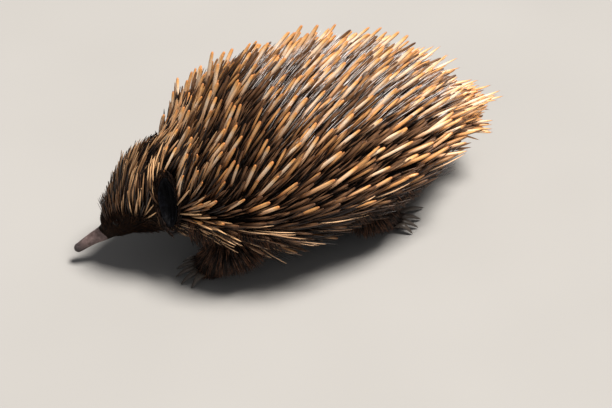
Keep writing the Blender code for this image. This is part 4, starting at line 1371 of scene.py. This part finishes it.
def make_studio():
    made, tree, shader, add = node_maker("floor")
    colour = ramp(add, noise(add, 3, 2), [(0.3, (0.315, 0.309, 0.300)), (0.7, (0.335, 0.329, 0.320))])
    tree.links.new(colour, shader.inputs["Base Color"])
    shader.inputs["Roughness"].default_value = 0.8
    floor = new_object("floor", [(-6, -6, 0), (6, -6, 0), (6, 6, 0), (-6, 6, 0)], [(0, 1, 2, 3)], made)
    floor.location.z = -0.0002
    add_light("key", "SUN", (0.50, -0.20, 1.6), math.radians(22), 6.7, (1.0, 0.95, 0.89))
    add_light("fill", "AREA", (-1.3, -1.2, 0.9), 1.4, 1.4, (0.95, 0.97, 1.0))
    world = bpy.data.worlds.new("studio")
    world.use_nodes = True
    world.node_tree.nodes["Background"].inputs["Color"].default_value = (0.86, 0.86, 0.88, 1)
    world.node_tree.nodes["Background"].inputs["Strength"].default_value = 0.21
    bpy.context.scene.world = world
    bpy.context.scene.view_settings.view_transform = "Standard"


def main():
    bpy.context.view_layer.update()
    form = Form(BODY)
    low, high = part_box("eye_left")
    form.shift = (np.array(low) + np.array(high)) / 2 - eye_centre(form, -1)
    shift = form.shift.copy()
    shift[2] = 0.0
    draw = np.random.default_rng(SEED)
    looks = {
        "skin": skin_look(),
        "spines": spine_look(),
        "coat": hair_look("coat", (0.0025, 0.0016, 0.0014), (0.008, 0.005, 0.004), (0.050, 0.030, 0.021), 0.50, 0.12),
        # Pale hair: painted highlights on the dark fur of the back
        "pale": hair_look("painted_glint_hair", (0.12, 0.10, 0.10), (0.58, 0.53, 0.51), (0.98, 0.94, 0.93), 0.38, 0.4),
        "bristles": hair_look("bristles", (0.009, 0.004, 0.003), (0.22, 0.102, 0.042), (0.78, 0.47, 0.24), 0.40, 0.4),
        # Skirt bristles: their pale colour is partly raised as painted light under the ears
        "skirt": hair_look("skirt_bristles", (0.009, 0.004, 0.003), (0.20, 0.098, 0.045), (0.95, 0.60, 0.34), 0.40, 0.45),
        "face": hair_look("face_hair", (0.006, 0.0026, 0.0015), (0.032, 0.012, 0.006), (0.11, 0.048, 0.022), 0.55, 0.15),
        "belly": hair_look("belly_hair", (0.010, 0.006, 0.004), (0.040, 0.022, 0.014), (0.15, 0.08, 0.045), 0.55),
        "legs": hair_look("leg_hair", (0.007, 0.004, 0.003), (0.028, 0.013, 0.008), (0.13, 0.058, 0.030), 0.55, 0.2),
        "ear": ear_look(),
        "eye": eye_look(),
    }
    skin = make_skin(form, shift, looks["skin"])
    ears = [make_ear(form, side, name, looks["ear"]) for side, name in ((-1, "ear_cup_left"), (1, "ear_cup_right"))]
    coats = make_coat(form, shift, skin, looks, draw)
    eyes = [make_eye(form, side, name, looks["eye"]) for side, name in ((-1, "eyeball_left"), (1, "eyeball_right"))]
    claws = make_claws(shift, horn_look("claw", (0.085, 0.066, 0.053), (0.22, 0.178, 0.142), 0.40))
    flesh = [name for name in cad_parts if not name.startswith(("ear", "eye"))]
    for piece, slot, nodes in (
        (skin, "hide", flesh),
        (ears[0], "ear_skin", ["ear_left"]),
        (ears[1], "ear_skin", ["ear_right"]),
        (eyes[0], "eye", ["eye_left"]),
        (eyes[1], "eye", ["eye_right"]),
        (claws, "hide", list(LEGS)),
        *((coat, "fur" if coat.name.startswith("fur") else "spines", []) for coat in coats),
    ):
        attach(piece, "root")
        if nodes:
            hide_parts(*nodes)
    make_camera(form.point(0.0, 0.0, 0.0, 0.0) - np.array(form.frame(0.0)[1]) * form.read(0.0)[3])
    make_studio()
    for piece in (skin, *ears, *eyes, claws, *coats):
        piece.data.calc_loop_triangles()
        print("PIECE", piece.name, len(piece.data.loop_triangles))


main()
